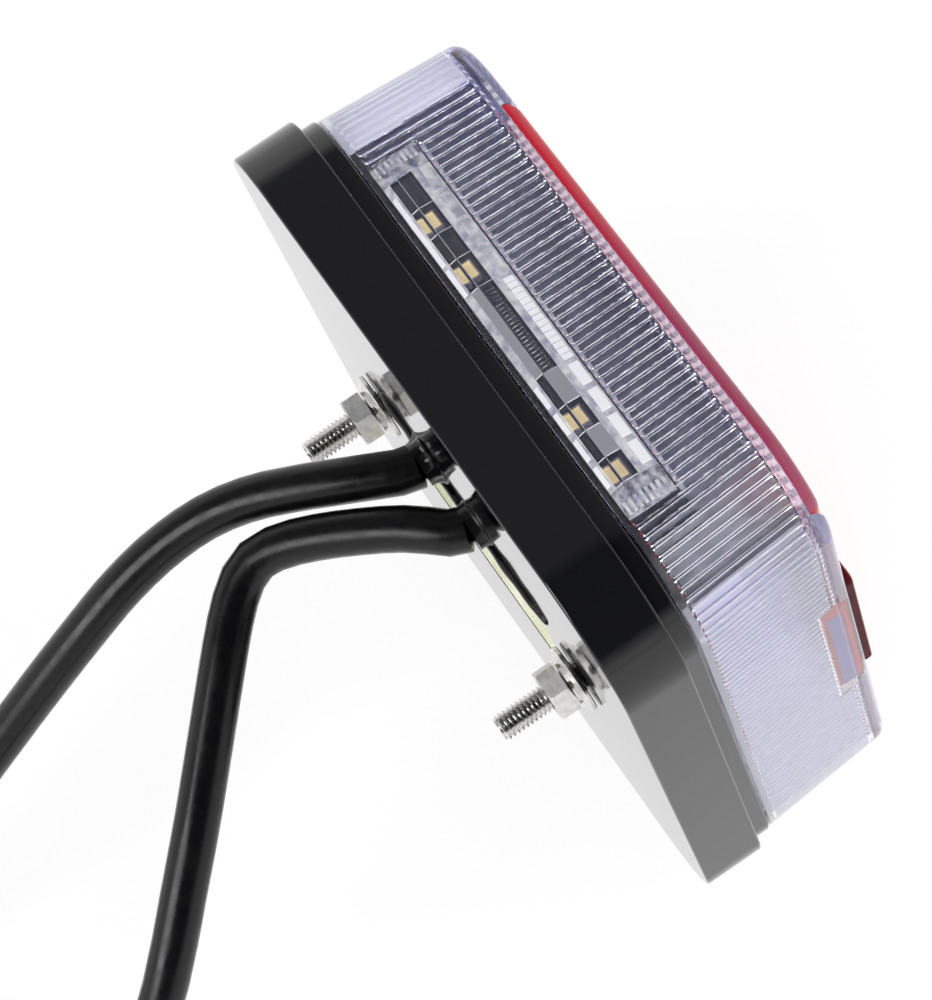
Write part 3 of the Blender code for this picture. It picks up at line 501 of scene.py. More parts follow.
def smooth_route(points, step):
    """Points about a step apart on a smooth curve through a route's own points, and the curve's length."""
    ends = [2 * points[0] - points[1], *points, 2 * points[-1] - points[-2]]
    fine = []
    for p0, p1, p2, p3 in zip(ends, ends[1:], ends[2:], ends[3:]):
        for i in range(SPLINE_STEPS):
            t = i / SPLINE_STEPS
            fine.append(0.5 * (
                2 * p1 + (p2 - p0) * t + (2 * p0 - 5 * p1 + 4 * p2 - p3) * t**2
                + (3 * p1 - p0 - 3 * p2 + p3) * t**3
            ))
    fine.append(points[-1])
    runs = [0.0]
    for first, second in zip(fine, fine[1:]):
        runs.append(runs[-1] + (second - first).length)
    count = max(2, round(runs[-1] / step))
    even = []
    k = 0
    for i in range(count + 1):
        want = runs[-1] * i / count
        while k < len(runs) - 2 and runs[k + 1] < want:
            k += 1
        share = (want - runs[k]) / (runs[k + 1] - runs[k])
        even.append(fine[k].lerp(fine[k + 1], share))
    return even, runs[-1]


# %% The ring that is put away
CLEARANCE = 0.3 * MM
LEAD_DIAMETER = 6.4 * MM
LEAD_LENGTH = 0.5
COIL_CENTRE = (-15.0 * MM, 142.0 * MM)
COIL_BASE = 0.9 * MM + 2 * CLEARANCE + LEAD_DIAMETER / 2
COIL_POINTS_PER_TURN = 60
LAYER_STEP = 7.0 * MM
LAYER_DROP_ANGLE = math.radians(50.0)
COIL_END_ROOM = math.radians(40.0)


def coil_point(radius, angle, height):
    centre = Vector((COIL_CENTRE[0], BACK_Y + COIL_CENTRE[1], 0.0))
    return centre + Vector((radius * math.cos(angle), radius * math.sin(angle), height))


def ease(t):
    t = min(max(t, 0.0), 1.0)
    return t * t * (3 - 2 * t)


def coil_points(lead, length):
    """A ring that starts one layer up, runs a length and ends on the floor, and how far it turns."""
    start, turn, radius = lead["start"], lead["turn"], lead["radius"]
    total = length / radius
    drop = total - 2 * math.pi + COIL_END_ROOM
    count = round(COIL_POINTS_PER_TURN * total / (2 * math.pi))
    points = []
    for i in range(count + 1):
        turned = total * i / count
        height = COIL_BASE + LAYER_STEP * (1 - ease((turned - drop) / LAYER_DROP_ANGLE))
        points.append(coil_point(radius, start + turn * turned, height))
    return points, total


# %% From the seal to the cut end
LEAD_STUB = 1.2 * MM
LEAD_Z = 66.0 * MM


def at(x, depth, z):
    """A point of the lamp from its depth in front of the back face."""
    return Vector((x, BACK_Y - depth, z))


def lead_points(lead):
    """The points of a lead from its seal to its cut end, and how far its coil turns."""
    first = at(lead["x"], -2 * CLEARANCE - lead["seal"], LEAD_Z)
    stub = first + Vector((0.0, LEAD_STUB, 0.0))
    route = [Vector((x * MM, BACK_Y + y * MM, z * MM)) for x, y, z in lead["route"]]
    start, turn = lead["start"], lead["turn"]
    heading = Vector((-math.sin(start), math.cos(start), 0.0)) * turn
    join = coil_point(lead["radius"], start, COIL_BASE + LAYER_STEP) - heading * LEAD_DIAMETER
    last = join - heading * CLEARANCE
    way = [first, stub, *route, last - heading * LEAD_STUB, last]
    free, run = smooth_route(way, LEAD_DIAMETER / 2)
    coil, total = coil_points(lead, LEAD_LENGTH - run - LEAD_DIAMETER)
    return free + [join] + coil, total


# %% One curve for each lead
def place(name, data, look=None):
    obj = bpy.data.objects.new(name, data)
    if look:
        data.materials.append(look)
    bpy.context.scene.collection.objects.link(obj)
    return obj


def lead_curve(name, points, radius, look):
    curve = bpy.data.curves.new(name, "CURVE")
    curve.dimensions = "3D"
    curve.bevel_depth = radius
    curve.bevel_resolution = 6
    curve.use_fill_caps = True
    spline = curve.splines.new("POLY")
    spline.points.add(len(points) - 1)
    for target, point in zip(spline.points, points):
        target.co = (*point, 1.0)
    spline.use_smooth = True
    return place(name, curve, look)


for name, lead in LEADS.items():
    points, lead["turned"] = lead_points(lead)
    lead["piece"] = lead_curve(f"{name}_lead", points, LEAD_DIAMETER / 2, LOOKS["sheath"])
    lead["exit"] = points[0]
    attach(lead["piece"], "lamp")
    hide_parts(f"{name}_cable", f"{name}_coil")
    print(name, "lead:", len(points), "points, coil turns", round(lead["turned"] / (2 * math.pi), 2))

# %% [markdown]
# ## Lofts
# Most pieces from here on are lofts: equal loops of points joined one to the next, as a draughtsman
# stacks sections. Plain boxes with a Bevel modifier would be quicker, but loops put every section
# exactly where it belongs. The loops are closed by caps, or the last is joined to the first for a
# ring. Round faces are shaded smooth, and edges sharper than a set angle stay crisp.

# %% Skins from loops
SHARP_ANGLE = math.radians(32.0)


def finish_mesh(name, bm):
    bmesh.ops.recalc_face_normals(bm, faces=bm.faces)
    mesh = bpy.data.meshes.new(name)
    bm.to_mesh(mesh)
    bm.free()
    mesh.shade_smooth()
    mesh.set_sharp_from_angle(angle=SHARP_ANGLE)
    return mesh


def add_loft(bm, loops, closed=False):
    rings = [[bm.verts.new(point) for point in loop] for loop in loops]
    pairs = list(zip(rings, rings[1:]))
    if closed:
        pairs.append((rings[-1], rings[0]))
    else:
        bm.faces.new(rings[0])
        bm.faces.new(rings[-1])
    count = len(rings[0])
    for first, second in pairs:
        for i in range(count):
            j = (i + 1) % count
            bm.faces.new((first[i], first[j], second[j], second[i]))


def loft(name, loops, closed=False):
    bm = bmesh.new()
    add_loft(bm, loops, closed)
    return place(name, finish_mesh(name, bm))


# %% Outlines
def rounded(left, right, bottom, top, corners, depth, steps):
    """A rounded rectangle. Its corner radii start at bottom left and go round by bottom right."""
    places = [(left, bottom, 1, 1), (right, bottom, -1, 1), (right, top, -1, -1), (left, top, 1, -1)]
    points = []
    for k, ((x, z, sx, sz), radius) in enumerate(zip(places, corners)):
        middle_x, middle_z = x + sx * radius, z + sz * radius
        for i in range(steps + 1):
            a = math.pi + (k + i / steps) * math.pi / 2
            points.append(at(middle_x + radius * math.cos(a), depth, middle_z + radius * math.sin(a)))
    return points


BODY_CORNER = 16.0 * MM
CORNER_STEPS = 14


def lamp_outline(inset, depth, taper=0.0):
    """The lamp's outline, set in by a distance. The two ends of the cover taper in further."""
    x = HALF_LENGTH - inset - taper
    return rounded(-x, x, inset, HEIGHT - inset, [BODY_CORNER - inset] * 4, depth, CORNER_STEPS)


def circle(x, z, radius, depth, steps):
    angles = [2 * math.pi * i / steps for i in range(steps)]
    return [at(x + radius * math.cos(a), depth, z + radius * math.sin(a)) for a in angles]


# %% [markdown]
# ## The base moulding
# The base is one gloss black moulding: a thick flange, a narrower step in front of it, and a tongue
# that goes inside the cover. Moulded edges are never quite sharp, and a thin light line runs along
# each of them. A Bevel modifier could round them, but it would also round the cuts, so the outer
# edges get their small arcs in the loops. The tray, the holes and the potting pocket are cut by
# Booleans afterwards, as on a mill.

# %% Base sizes, in depth from the back and inset from the outline
FLANGE = 9.3 * MM
STEP = FLANGE + 2.6 * MM
STEP_INSET = 1.7 * MM
TONGUE_INSET = 5.85 * MM
TONGUE_TOP = STEP + 2.0 * MM
TRAY_INSET = TONGUE_INSET + 1.2 * MM
BACK_WALL = 4.0 * MM
POST_TOP = BACK_WALL + 8.0 * MM
POST_RADIUS = 3.0 * MM
POST_INSET = 16.5 * MM
STUD_X = (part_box("right_stud")[0][0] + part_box("right_stud")[1][0]) / 2
STUD_Z = HEIGHT / 2
STUD_RADIUS = 2.0 * MM
print(f"studs at x {STUD_X:.4f} on both sides, z {STUD_Z:.4f}")

# %% Rounded edges, rods and cuts
EDGE_ROUND = 0.45 * MM
EDGE_STEPS = 5


def rounded_edge(inset, depth, radius, sign):
    """Insets and depths round an outer edge. The sign is -1 at a back edge and 1 at a front edge."""
    points = []
    for i in range(EDGE_STEPS + 1):
        a = math.pi / 2 * i / EDGE_STEPS
        points.append((inset + radius * (1 - math.cos(a)), depth - sign * radius * (1 - math.sin(a))))
    return points if sign > 0 else points[::-1]


def bodies(name, skins):
    """One helper object of several closed lofts, for a Boolean."""
    bm = bmesh.new()
    for loops in skins:
        add_loft(bm, loops)
    return place(name, finish_mesh(name, bm))


def rod(x, z, radius, start, end, steps=32):
    return [circle(x, z, radius, start, steps), circle(x, z, radius, end, steps)]


def boolean(target, other, operation, many=False):
    """Applies a Boolean at once, then removes its tool. Many is for a tool of bodies that may touch."""
    modifier = target.modifiers.new(other.name, "BOOLEAN")
    modifier.operation = operation
    modifier.object = other
    modifier.solver = "EXACT"
    modifier.use_self = many
    bpy.context.view_layer.update()
    graph = bpy.context.evaluated_depsgraph_get()
    made = bpy.data.meshes.new_from_object(target.evaluated_get(graph))
    target.modifiers.clear()
    old = target.data
    target.data = made
    bpy.data.meshes.remove(old)
    bpy.data.objects.remove(other, do_unlink=True)


# %% The moulding with its tray, posts and holes
def make_base():
    profile = rounded_edge(0.0, 0.0, EDGE_ROUND, -1)
    profile += rounded_edge(0.0, FLANGE, EDGE_ROUND, 1)
    profile += [(STEP_INSET, FLANGE)]
    profile += rounded_edge(STEP_INSET, STEP, EDGE_ROUND, 1)
    profile += [(TONGUE_INSET, STEP), (TONGUE_INSET, TONGUE_TOP)]
    base = loft("base_moulding", [lamp_outline(inset, depth) for inset, depth in profile])
    tray = loft("tray", [lamp_outline(TRAY_INSET, BACK_WALL), lamp_outline(TRAY_INSET, 2 * TONGUE_TOP)])
    boolean(base, tray, "DIFFERENCE")
    x, z = HALF_LENGTH - POST_INSET, STUD_Z - POST_INSET
    posts = [(sx * x, STUD_Z + sz * z) for sx in (-1, 1) for sz in (-1, 1)]
    boolean(base, bodies("posts", [rod(*p, POST_RADIUS, BACK_WALL / 2, POST_TOP) for p in posts]), "UNION")
    holes = [rod(x, STUD_Z, STUD_RADIUS + CLEARANCE, -BACK_WALL, 2 * BACK_WALL) for x in (-STUD_X, STUD_X)]
    seal_bore = LEAD_DIAMETER / 2 + CLEARANCE
    holes += [rod(lead["x"], LEAD_Z, seal_bore, -BACK_WALL, 2 * BACK_WALL) for lead in LEADS.values()]
    boolean(base, bodies("holes", holes), "DIFFERENCE")
    return base


# %% The potting pocket
POCKET = {"half": 19.0 * MM, "low": 35.0 * MM, "high": 61.0 * MM, "corner": 5.0 * MM, "depth": 2.2 * MM}
POCKET_STEPS = 10


def pocket_outline(inset, depth):
    half = POCKET["half"] - inset
    corner = max(POCKET["corner"] - inset, CLEARANCE)
    low, high = POCKET["low"] + inset, POCKET["high"] - inset
    return rounded(-half, half, low, high, [corner] * 4, depth, POCKET_STEPS)


# %% Finish, body and node of a piece
def dress(piece, look, slot, *nodes, body="lamp"):
    """Gives a piece its finish and its body, and hides the solids of the nodes it stands for."""
    piece.data.materials.clear()
    piece.data.materials.append(LOOKS[look])
    piece.data.shade_smooth()
    piece.data.set_sharp_from_angle(angle=SHARP_ANGLE)
    flats = piece.modifiers.new("flats_stay_flat", "WEIGHTED_NORMAL")
    flats.keep_sharp = True
    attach(piece, body)
    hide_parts(*nodes)
    print(piece.name, len(piece.data.polygons), "faces")


base = make_base()
pocket = loft("pocket", [pocket_outline(0.0, -2 * MM), pocket_outline(0.0, POCKET["depth"])])
boolean(base, pocket, "DIFFERENCE")
dress(base, "black", "base", "housing")

# %% [markdown]
# ## Potting
# Resin was poured into the pocket of the back to seal the wires. A flat cap could stand for it, but
# a poured surface climbs a little at the walls, and that rim catches the light. So it is a stack of
# shrinking loops whose middle lies lower than its rim.

# %% Poured resin
POTTING_FLOOR = POCKET["depth"] - CLEARANCE
POTTING_RIM = 0.1 * MM
POTTING_SAG = 0.75 * MM
POTTING_INSETS = (0.3, 0.7, 1.3, 2.2, 3.4, 4.9)
POTTING_CLIMB = 0.9


def make_potting():
    loops = [pocket_outline(CLEARANCE, POTTING_FLOOR)]
    for inset in POTTING_INSETS:
        sag = POTTING_SAG * (1 - math.exp(-(inset - POTTING_INSETS[0]) / POTTING_CLIMB))
        loops.append(pocket_outline(inset * MM, POTTING_RIM + sag))
    return loft("poured_resin", loops)


dress(make_potting(), "resin", "resin", "potting_compound")

# %% [markdown]
# ## Studs
# The lamp hangs on two M4 studs. A Screw modifier could wind the thread, or rings could stand for
# it. But rings don't climb, and a wound strip still has to be joined to its core. Here the radius
# of every point depends on its height and its angle together, so thread and core are one skin.

# %% Threaded studs
STUD_REACH = 12.9 * MM
THREAD_PITCH = 0.7 * MM
THREAD_DEPTH = 0.38 * MM
STUD_TAPER = 0.5 * MM
HEAD_RADIUS = 3.8 * MM
HEAD_BACK = BACK_WALL + CLEARANCE
HEAD_FRONT = HEAD_BACK + 2.8 * MM
TURN_STEPS = 40
LOOPS_PER_PITCH = 10


def thread_loop(x, reach):
    """One slice of a stud, at a distance behind the back face."""
    points = []
    end_taper = max(0.0, reach - (STUD_REACH - STUD_TAPER)) * 0.8
    for i in range(TURN_STEPS):
        a = 2 * math.pi * i / TURN_STEPS
        phase = (reach / THREAD_PITCH + i / TURN_STEPS) % 1.0
        crest = min(1.0, max(0.0, 1.25 * abs(2 * phase - 1) - 0.1))
        radius = min(STUD_RADIUS - THREAD_DEPTH * (1 - crest), STUD_RADIUS - 0.02 * MM - end_taper)
        points.append(at(x + radius * math.cos(a), -reach, STUD_Z + radius * math.sin(a)))
    return points


def make_stud(side, x):
    head = [(HEAD_RADIUS - EDGE_ROUND, HEAD_FRONT), (HEAD_RADIUS, HEAD_FRONT - EDGE_ROUND)]
    head += [(HEAD_RADIUS, HEAD_BACK), (STUD_RADIUS, HEAD_BACK), (STUD_RADIUS, 0.6 * MM)]
    loops = [circle(x, STUD_Z, radius, depth, TURN_STEPS) for radius, depth in head]
    count = round(STUD_REACH / THREAD_PITCH * LOOPS_PER_PITCH)
    loops += [thread_loop(x, STUD_REACH * i / count) for i in range(count + 1)]
    stud = loft(f"{side}_threaded_stud", loops)
    dress(stud, "steel", "steel", f"{side}_stud")


# %% [markdown]
# ## Washers and nuts
# Each stud holds a cone washer and a hexagon nut. They move along it, so each is a piece of its own
# on its own body. A nut could be a cylinder with six sides, but a turned chamfer takes off its
# corners in a curve. Here the hexagon's corners stop at a radius, and the radius changes over the
# chamfer.

# %% Cone washers
BORE = STUD_RADIUS + 0.14 * MM
WASHER_RADIUS = 5.1 * MM
WASHER_FOOT = -CLEARANCE
WASHER_RISE = 1.6 * MM
WASHER_CROWN = WASHER_FOOT - WASHER_RISE
WASHER_STEPS = 64
NUT_FLAT = 3.5 * MM


def make_washer(side, x):
    """A cone washer: a rounded rim that rises to a flat round seat."""
    rim = WASHER_RADIUS
    profile = [(BORE, 0.0), (rim - 0.15 * MM, 0.0), (rim, 0.15 * MM), (rim, 0.6 * MM)]
    profile += [(rim - 0.18 * MM, 0.8 * MM), (NUT_FLAT + 0.5 * MM, 1.25 * MM)]
    profile += [(NUT_FLAT + 0.15 * MM, WASHER_RISE), (BORE, WASHER_RISE)]
    loops = [circle(x, STUD_Z, radius, WASHER_FOOT - rise, WASHER_STEPS) for radius, rise in profile]
    washer = loft(f"{side}_cone_washer", loops, closed=True)
    dress(washer, "steel", "steel", f"{side}_washer", body=f"{side}_washer_body")


# %% Hexagon nuts
NUT_SEAT = WASHER_CROWN - CLEARANCE
NUT_TOP = NUT_SEAT - 2.9 * MM
NUT_STEPS = 96
NUT_CHAMFER = 0.36 * MM
CHAMFER_STEPS = 5
BORE_CHAMFER = 0.35 * MM


def hexagon(x, limit, depth):
    """A hexagon whose corners stop at a radius, as a turned chamfer leaves them."""
    points = []
    for i in range(NUT_STEPS):
        a = 2 * math.pi * i / NUT_STEPS
        off = a % (math.pi / 3) - math.pi / 6
        reach = min(NUT_FLAT / math.cos(off), limit)
        points.append(at(x + reach * math.cos(a), depth, STUD_Z + reach * math.sin(a)))
    return points


def make_nut(side, x):
    corner = NUT_FLAT / math.cos(math.pi / 6)
    turned = []
    for i in range(CHAMFER_STEPS + 1):
        a = math.pi / 2 * i / CHAMFER_STEPS
        turned.append((corner - NUT_CHAMFER * (1 - math.sin(a)), NUT_CHAMFER * (1 - math.cos(a))))
    loops = [circle(x, STUD_Z, BORE, NUT_SEAT, NUT_STEPS)]
    loops += [hexagon(x, limit, NUT_SEAT - rise) for limit, rise in turned]
    loops += [hexagon(x, limit, NUT_TOP + rise) for limit, rise in turned[::-1]]
    loops += [circle(x, STUD_Z, BORE + BORE_CHAMFER, NUT_TOP, NUT_STEPS)]
    loops += [circle(x, STUD_Z, BORE, NUT_TOP + BORE_CHAMFER, NUT_STEPS)]
    nut = loft(f"{side}_hex_nut", loops, closed=True)
    dress(nut, "satin", "steel", f"{side}_nut", body=f"{side}_nut_body")


for side, x in (("right", STUD_X), ("left", -STUD_X)):
    make_stud(side, x)
    make_washer(side, x)
    make_nut(side, x)

# %% [markdown]
# ## Sealant at the leads
# The leads are sealed with a squirt of black sealant, and a thin run of it lies along the pocket.
# Sculpting or metaballs could make the lumps. Here a bead is a ring by plan, and a few sine waves
# of different lengths push its rim in and out. They are fixed numbers, so it comes out the same
# each time.

# %% Lumpy beads
SEAL_REACH = {"link": 0.9 * MM, "supply": 0.35 * MM}
SEAL_LOOK = {"link": "sealant", "supply": "film"}
SEAL_NECK = LEAD_DIAMETER / 2 + 0.1 * MM
SEAL_FOOT = -0.05 * MM
BEAD_STEPS = 72
FILLET_STEPS = 7
LUMPS = {
    "link": ((3, 0.5, 0.25), (5, 2.1, 0.25), (8, 4.0, 0.20), (13, 1.0, 0.12)),
    "supply": ((6, 0.4, 0.06),),
}


def lump(name, angle):
    """How far the bead swells at an angle, as a sum of waves."""
    return sum(size * math.sin(waves * angle + shift) for waves, shift, size in LUMPS[name]) * MM


def bead_loop(name, x, radius, depth, share):
    """A circle that takes a share of the bead's lumps."""
    points = []
    for i in range(BEAD_STEPS):
        a = 2 * math.pi * i / BEAD_STEPS
        reach = radius + share * lump(name, a)
        rise = 0.6 * share * lump(name, a + 0.7)
        points.append(at(x + reach * math.cos(a), depth - rise, LEAD_Z + reach * math.sin(a)))
    return points


def make_bead(name, lead):
    """A hollow fillet between the back and the lead, a little past the lead's first slice."""
    reach = SEAL_REACH[name]
    top = -2.4 * CLEARANCE - lead["seal"]
    profile = [(SEAL_NECK, BACK_WALL, 0.0), (SEAL_NECK, SEAL_FOOT, 0.0)]
    profile.append((SEAL_NECK + reach, SEAL_FOOT, 0.5))
    for i in range(1, FILLET_STEPS):
        a = math.pi / 2 * i / FILLET_STEPS
        radius = SEAL_NECK + reach * (1 - math.sin(a))
        profile.append((radius, SEAL_FOOT + (top - SEAL_FOOT) * (1 - math.cos(a)), 0.7 * math.cos(a)))
    profile.append((SEAL_NECK, top, 0.0))
    bead = loft(f"{name}_sealant", [bead_loop(name, lead["x"], *step) for step in profile])
    dress(bead, SEAL_LOOK[name], "seal", f"{name}_cable_seal")


# %% The run along the pocket
RUN = {"half": 21.5 * MM, "z": 61.3 * MM, "width": 0.95 * MM, "height": 0.65 * MM, "sunk": 0.1 * MM}
RUN_STEPS = 120
RUN_SIDES = 12


def make_sealant_run():
    """A low half-round run along the pocket's upper edge, from stud to stud."""
    loops = []
    for i in range(RUN_STEPS + 1):
        way = 2 * i / RUN_STEPS - 1
        waves = 1 + 0.12 * math.sin(9 * way) + 0.08 * math.sin(23 * way + 1)
        swell = math.sqrt(max(0.0, 1 - way**16)) * waves
        middle = RUN["z"] + 0.1 * MM * math.sin(6 * way)
        loop = []
        for k in range(RUN_SIDES + 1):
            a = math.pi * k / RUN_SIDES
            depth = RUN["sunk"] - (RUN["sunk"] + RUN["height"] * swell) * math.sin(a)
            loop.append(at(RUN["half"] * way, depth, middle + RUN["width"] * swell * math.cos(a)))
        loops.append(loop)
    run = loft("sealant_run", loops)
    run.data.materials.append(LOOKS["sealant"])
    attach(run, "lamp")
    print(run.name, len(run.data.polygons), "faces")


for name, lead in LEADS.items():
    make_bead(name, lead)
make_sealant_run()

# %% [markdown]
# ## The clear cover
# The cover is a thin shell of clear acrylic. Its outside is smooth and rounds over into the front.
# Inside, half-round bars stand side by side along the window side, round both its corners and over
# both ends, and they smear what is behind them. Each bar could be a copy from an Array modifier,
# but then it would have to be joined to the wall. Here the bars are part of one cutter, the cavity:
# its outline has a bump for each bar. The bumps fade to nothing at both ends, so the bars end round
# as in the real mould, and at the near end they stop short of the reflector.

# %% Cover sizes
COVER_INSET = 2.0 * MM
COVER_DRAFT = 0.4 * MM
END_TAPER = 1.2 * MM
COVER_ROUND = 2.0 * MM
WALL_INSET = COVER_INSET + 1.6 * MM
CAVITY_FRONT = FRONT - 2.4 * MM
WINDOW_LEFT = -32.4 * MM
WINDOW_RIGHT = 28.6 * MM
WINDOW_BACK = FOOT + 0.75 * MM
WINDOW_FRONT = WINDOW_BACK + 6.95 * MM
REFLECTOR_LOW, REFLECTOR_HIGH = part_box("reflex_reflector")
REFLECTOR_FACE = BACK_Y - REFLECTOR_LOW[1]
REFLECTOR_BACK = BACK_Y - REFLECTOR_HIGH[1]
print(f"cavity to depth {CAVITY_FRONT:.4f}, reflector from {REFLECTOR_BACK:.4f} to {REFLECTOR_FACE:.4f}")

# %% One bar
BAR_PITCH = 1.47 * MM
BAR_HEIGHT = 0.42 * MM
BAR_SHARE = 0.84
BAR_HALF = BAR_SHARE * BAR_PITCH / 2
BAR_SAMPLES = (-1.0, -0.92, -0.7, -0.35, 0.0, 0.35, 0.7, 0.92, 1.0)
BAR_START = FOOT + 0.9 * MM
WINDOW_BAR_START = WINDOW_FRONT + 0.45 * MM
BAR_STOP = CAVITY_FRONT - 0.6 * MM
REFLECTOR_STOP = REFLECTOR_BACK - 0.2 * MM
BEAD_START = CAVITY_FRONT - 0.45 * MM


def bar_rise(over, depth, start, stop=BAR_STOP):
    """How far a bar stands out, at -1 to 1 across it. A full bar ends in a nick and a bead."""
    inside = min(depth - start, stop - depth)
    if stop == BAR_STOP and depth > BEAD_START:
        inside = depth - BEAD_START
    if inside <= 0.0:
        return 0.0
    along = max(0.0, 1.0 - inside / BAR_HALF)
    return BAR_HEIGHT * math.sqrt(max(0.0, 1.0 - over**2 - along**2))


def bar_places(length):
    """Shares of the way along a fluted run, with their places across a bar."""
    count = round(length / BAR_PITCH)
    places = []
    for i in range(count):
        for over in BAR_SAMPLES:
            places.append(((i + 0.5 + 0.5 * BAR_SHARE * over) / count, over))
    return places


def near_stop(z):
    """Bars of the near end stop short where the reflector stands behind them."""
    beside = REFLECTOR_LOW[2] - 0.4 * MM < z < REFLECTOR_HIGH[2] + 0.4 * MM
    return REFLECTOR_STOP if beside else BAR_STOP


print(f"bars {2 * BAR_HALF:.5f} m wide, {BAR_PITCH:.5f} m apart")

# %% The cavity's outline at a depth
CORNER_LENGTH = 0.78 * BODY_CORNER * math.pi / 2
SIDE_LENGTH = HEIGHT - 2 * BODY_CORNER


def cavity_loop(depth):
    """Bars stand on the window side, both its corners and both ends."""
    share = (depth - FOOT) / (FRONT - FOOT)
    inset = WALL_INSET + COVER_DRAFT * share
    x, z, radius = HALF_LENGTH - inset - END_TAPER * share, HEIGHT - inset, BODY_CORNER - inset
    flat = x - radius
    points = []

    def corner(middle, first, way, over):
        a = first + way * math.pi / 2
        reach = radius - bar_rise(over, depth, BAR_START)
        points.append(at(middle + reach * math.cos(a), depth, z - radius + reach * math.sin(a)))

    for way, over in bar_places(2 * (HALF_LENGTH - BODY_CORNER)):
        along = flat * (1 - 2 * way)
        over_window = WINDOW_LEFT - BAR_PITCH / 2 < along < WINDOW_RIGHT + BAR_PITCH / 2
        rise = bar_rise(over, depth, WINDOW_BAR_START if over_window else BAR_START)
        points.append(at(along, depth, z - rise))
    for way, over in bar_places(CORNER_LENGTH):
        corner(-flat, math.pi / 2, way, over)
    for way, over in bar_places(SIDE_LENGTH):
        up = z - radius - way * SIDE_LENGTH
        points.append(at(bar_rise(over, depth, BAR_START, near_stop(up)) - x, depth, up))
    points += rounded(-x, x, inset, z, [radius] * 4, depth, CORNER_STEPS)[:2 * (CORNER_STEPS + 1)]
    for way, over in bar_places(SIDE_LENGTH):
        up = inset + radius + way * SIDE_LENGTH
        points.append(at(x - bar_rise(over, depth, BAR_START), depth, up))
    for way, over in bar_places(CORNER_LENGTH):
        corner(flat, 0.0, way, over)
    return points


# %% The cavity and the shell
BAR_FADES = [share * BAR_HALF for share in (0.0, 0.06, 0.25, 0.6, 1.0)]
BEAD_DEPTHS = [BEAD_START, BEAD_START + 0.1 * MM, BEAD_START + 0.25 * MM, CAVITY_FRONT]


def make_cavity():
    depths = [FOOT - 1.0 * MM]
    for start in (BAR_START, WINDOW_BAR_START):
        depths += [start + fade for fade in BAR_FADES]
    for stop in (REFLECTOR_STOP, BAR_STOP):
        depths += [stop - fade for fade in BAR_FADES]
    return loft("cavity", [cavity_loop(depth) for depth in sorted(depths + BEAD_DEPTHS)])


def make_shell():
    edge = rounded_edge(COVER_INSET + COVER_DRAFT, FRONT, COVER_ROUND, 1)
    loops = [lamp_outline(COVER_INSET, FOOT)]
    loops += [lamp_outline(inset, depth, END_TAPER) for inset, depth in edge]
    return loft("clear_cover", loops)


# %% [markdown]
# ## The number plate window
# On the window side a long raised window lets the white light out. A thin ridge runs along it,
# right above the LEDs. Two shallow slopes fall from the ridge, and outside them a row of flat pads
# lies along each long edge. Between the two pairs of LEDs the front slope carries fine ribs. All
# these could be extruded by hand, one by one. But pads and ribs are all one thing, a four-cornered
# patch with a raised, slightly smaller top, so one function makes them all and their places are
# lists.

# %% The section of the roof, in millimetres: depth past the window's back edge, drop from the top
ROOF = [
    (0.0, 1.30), (0.75, 0.95), (1.0, 0.82), (2.10, 0.42), (2.16, 0.36), (2.22, 0.42), (4.25, 0.72),
    (5.2, 0.98), (6.75, 1.40), (6.95, 1.55),
]
BACK_PADS, BACK_SLOPE, RIDGE, FRONT_SLOPE, FRONT_PADS = 0, 2, 3, 5, 7
HIP_BASE = HEIGHT - 1.9 * MM


def roof_point(x, k, share=0.0):
    """A point on the roof's section: k is the slope's number and share the way along it."""
    (d0, drop0), (d1, drop1) = ROOF[k], ROOF[k + 1]
    d, drop = d0 + (d1 - d0) * share, drop0 + (drop1 - drop0) * share
    return at(x, WINDOW_BACK + d * MM, HEIGHT - drop * MM)


def roof_height(depth):
    """The plain roof's height at a depth, without pads."""
    d = (depth - WINDOW_BACK) / MM
    for (d0, drop0), (d1, drop1) in zip(ROOF, ROOF[1:]):
        if d0 <= d <= d1:
            return HEIGHT - (drop0 + (drop1 - drop0) * (d - d0) / (d1 - d0)) * MM
    return HEIGHT


def section(x, profile, foot, squeeze=1.0):
    """A closed section across the window at x. Its top is squeezed down towards the hip's base."""
    points = [at(x, WINDOW_BACK + profile[0][0] * MM, foot)]
    for d, drop in profile:
        z = HIP_BASE + (HEIGHT - drop * MM - HIP_BASE) * squeeze
        points.append(at(x, WINDOW_BACK + d * MM, z))
    points.append(at(x, WINDOW_BACK + profile[-1][0] * MM, foot))
    return points


print(f"window {WINDOW_RIGHT - WINDOW_LEFT:.4f} m long, {WINDOW_FRONT - WINDOW_BACK:.5f} m deep")

# %% The roof
ROOF_FOOT = HEIGHT - 3.0 * MM
HIP = [(0.0, 0.08), (0.25, 0.42), (2.2, 0.80), (3.9, 1.0)]
CELL_LINES = (-28.4, -24.3, -19.9, -15.4, -10.2, 4.9, 10.0, 14.5, 19.1)


def make_roof():
    """Sections at the hips and at each line between two cells, so that each cell has its own faces."""
    ends = [(WINDOW_LEFT + way * MM, squeeze) for way, squeeze in HIP]
    ends += [(x * MM, 1.0) for x in CELL_LINES]
    ends += [(WINDOW_RIGHT - way * MM, squeeze) for way, squeeze in HIP[::-1]]
    return loft("window_roof", [section(x, ROOF, ROOF_FOOT, squeeze) for x, squeeze in ends])


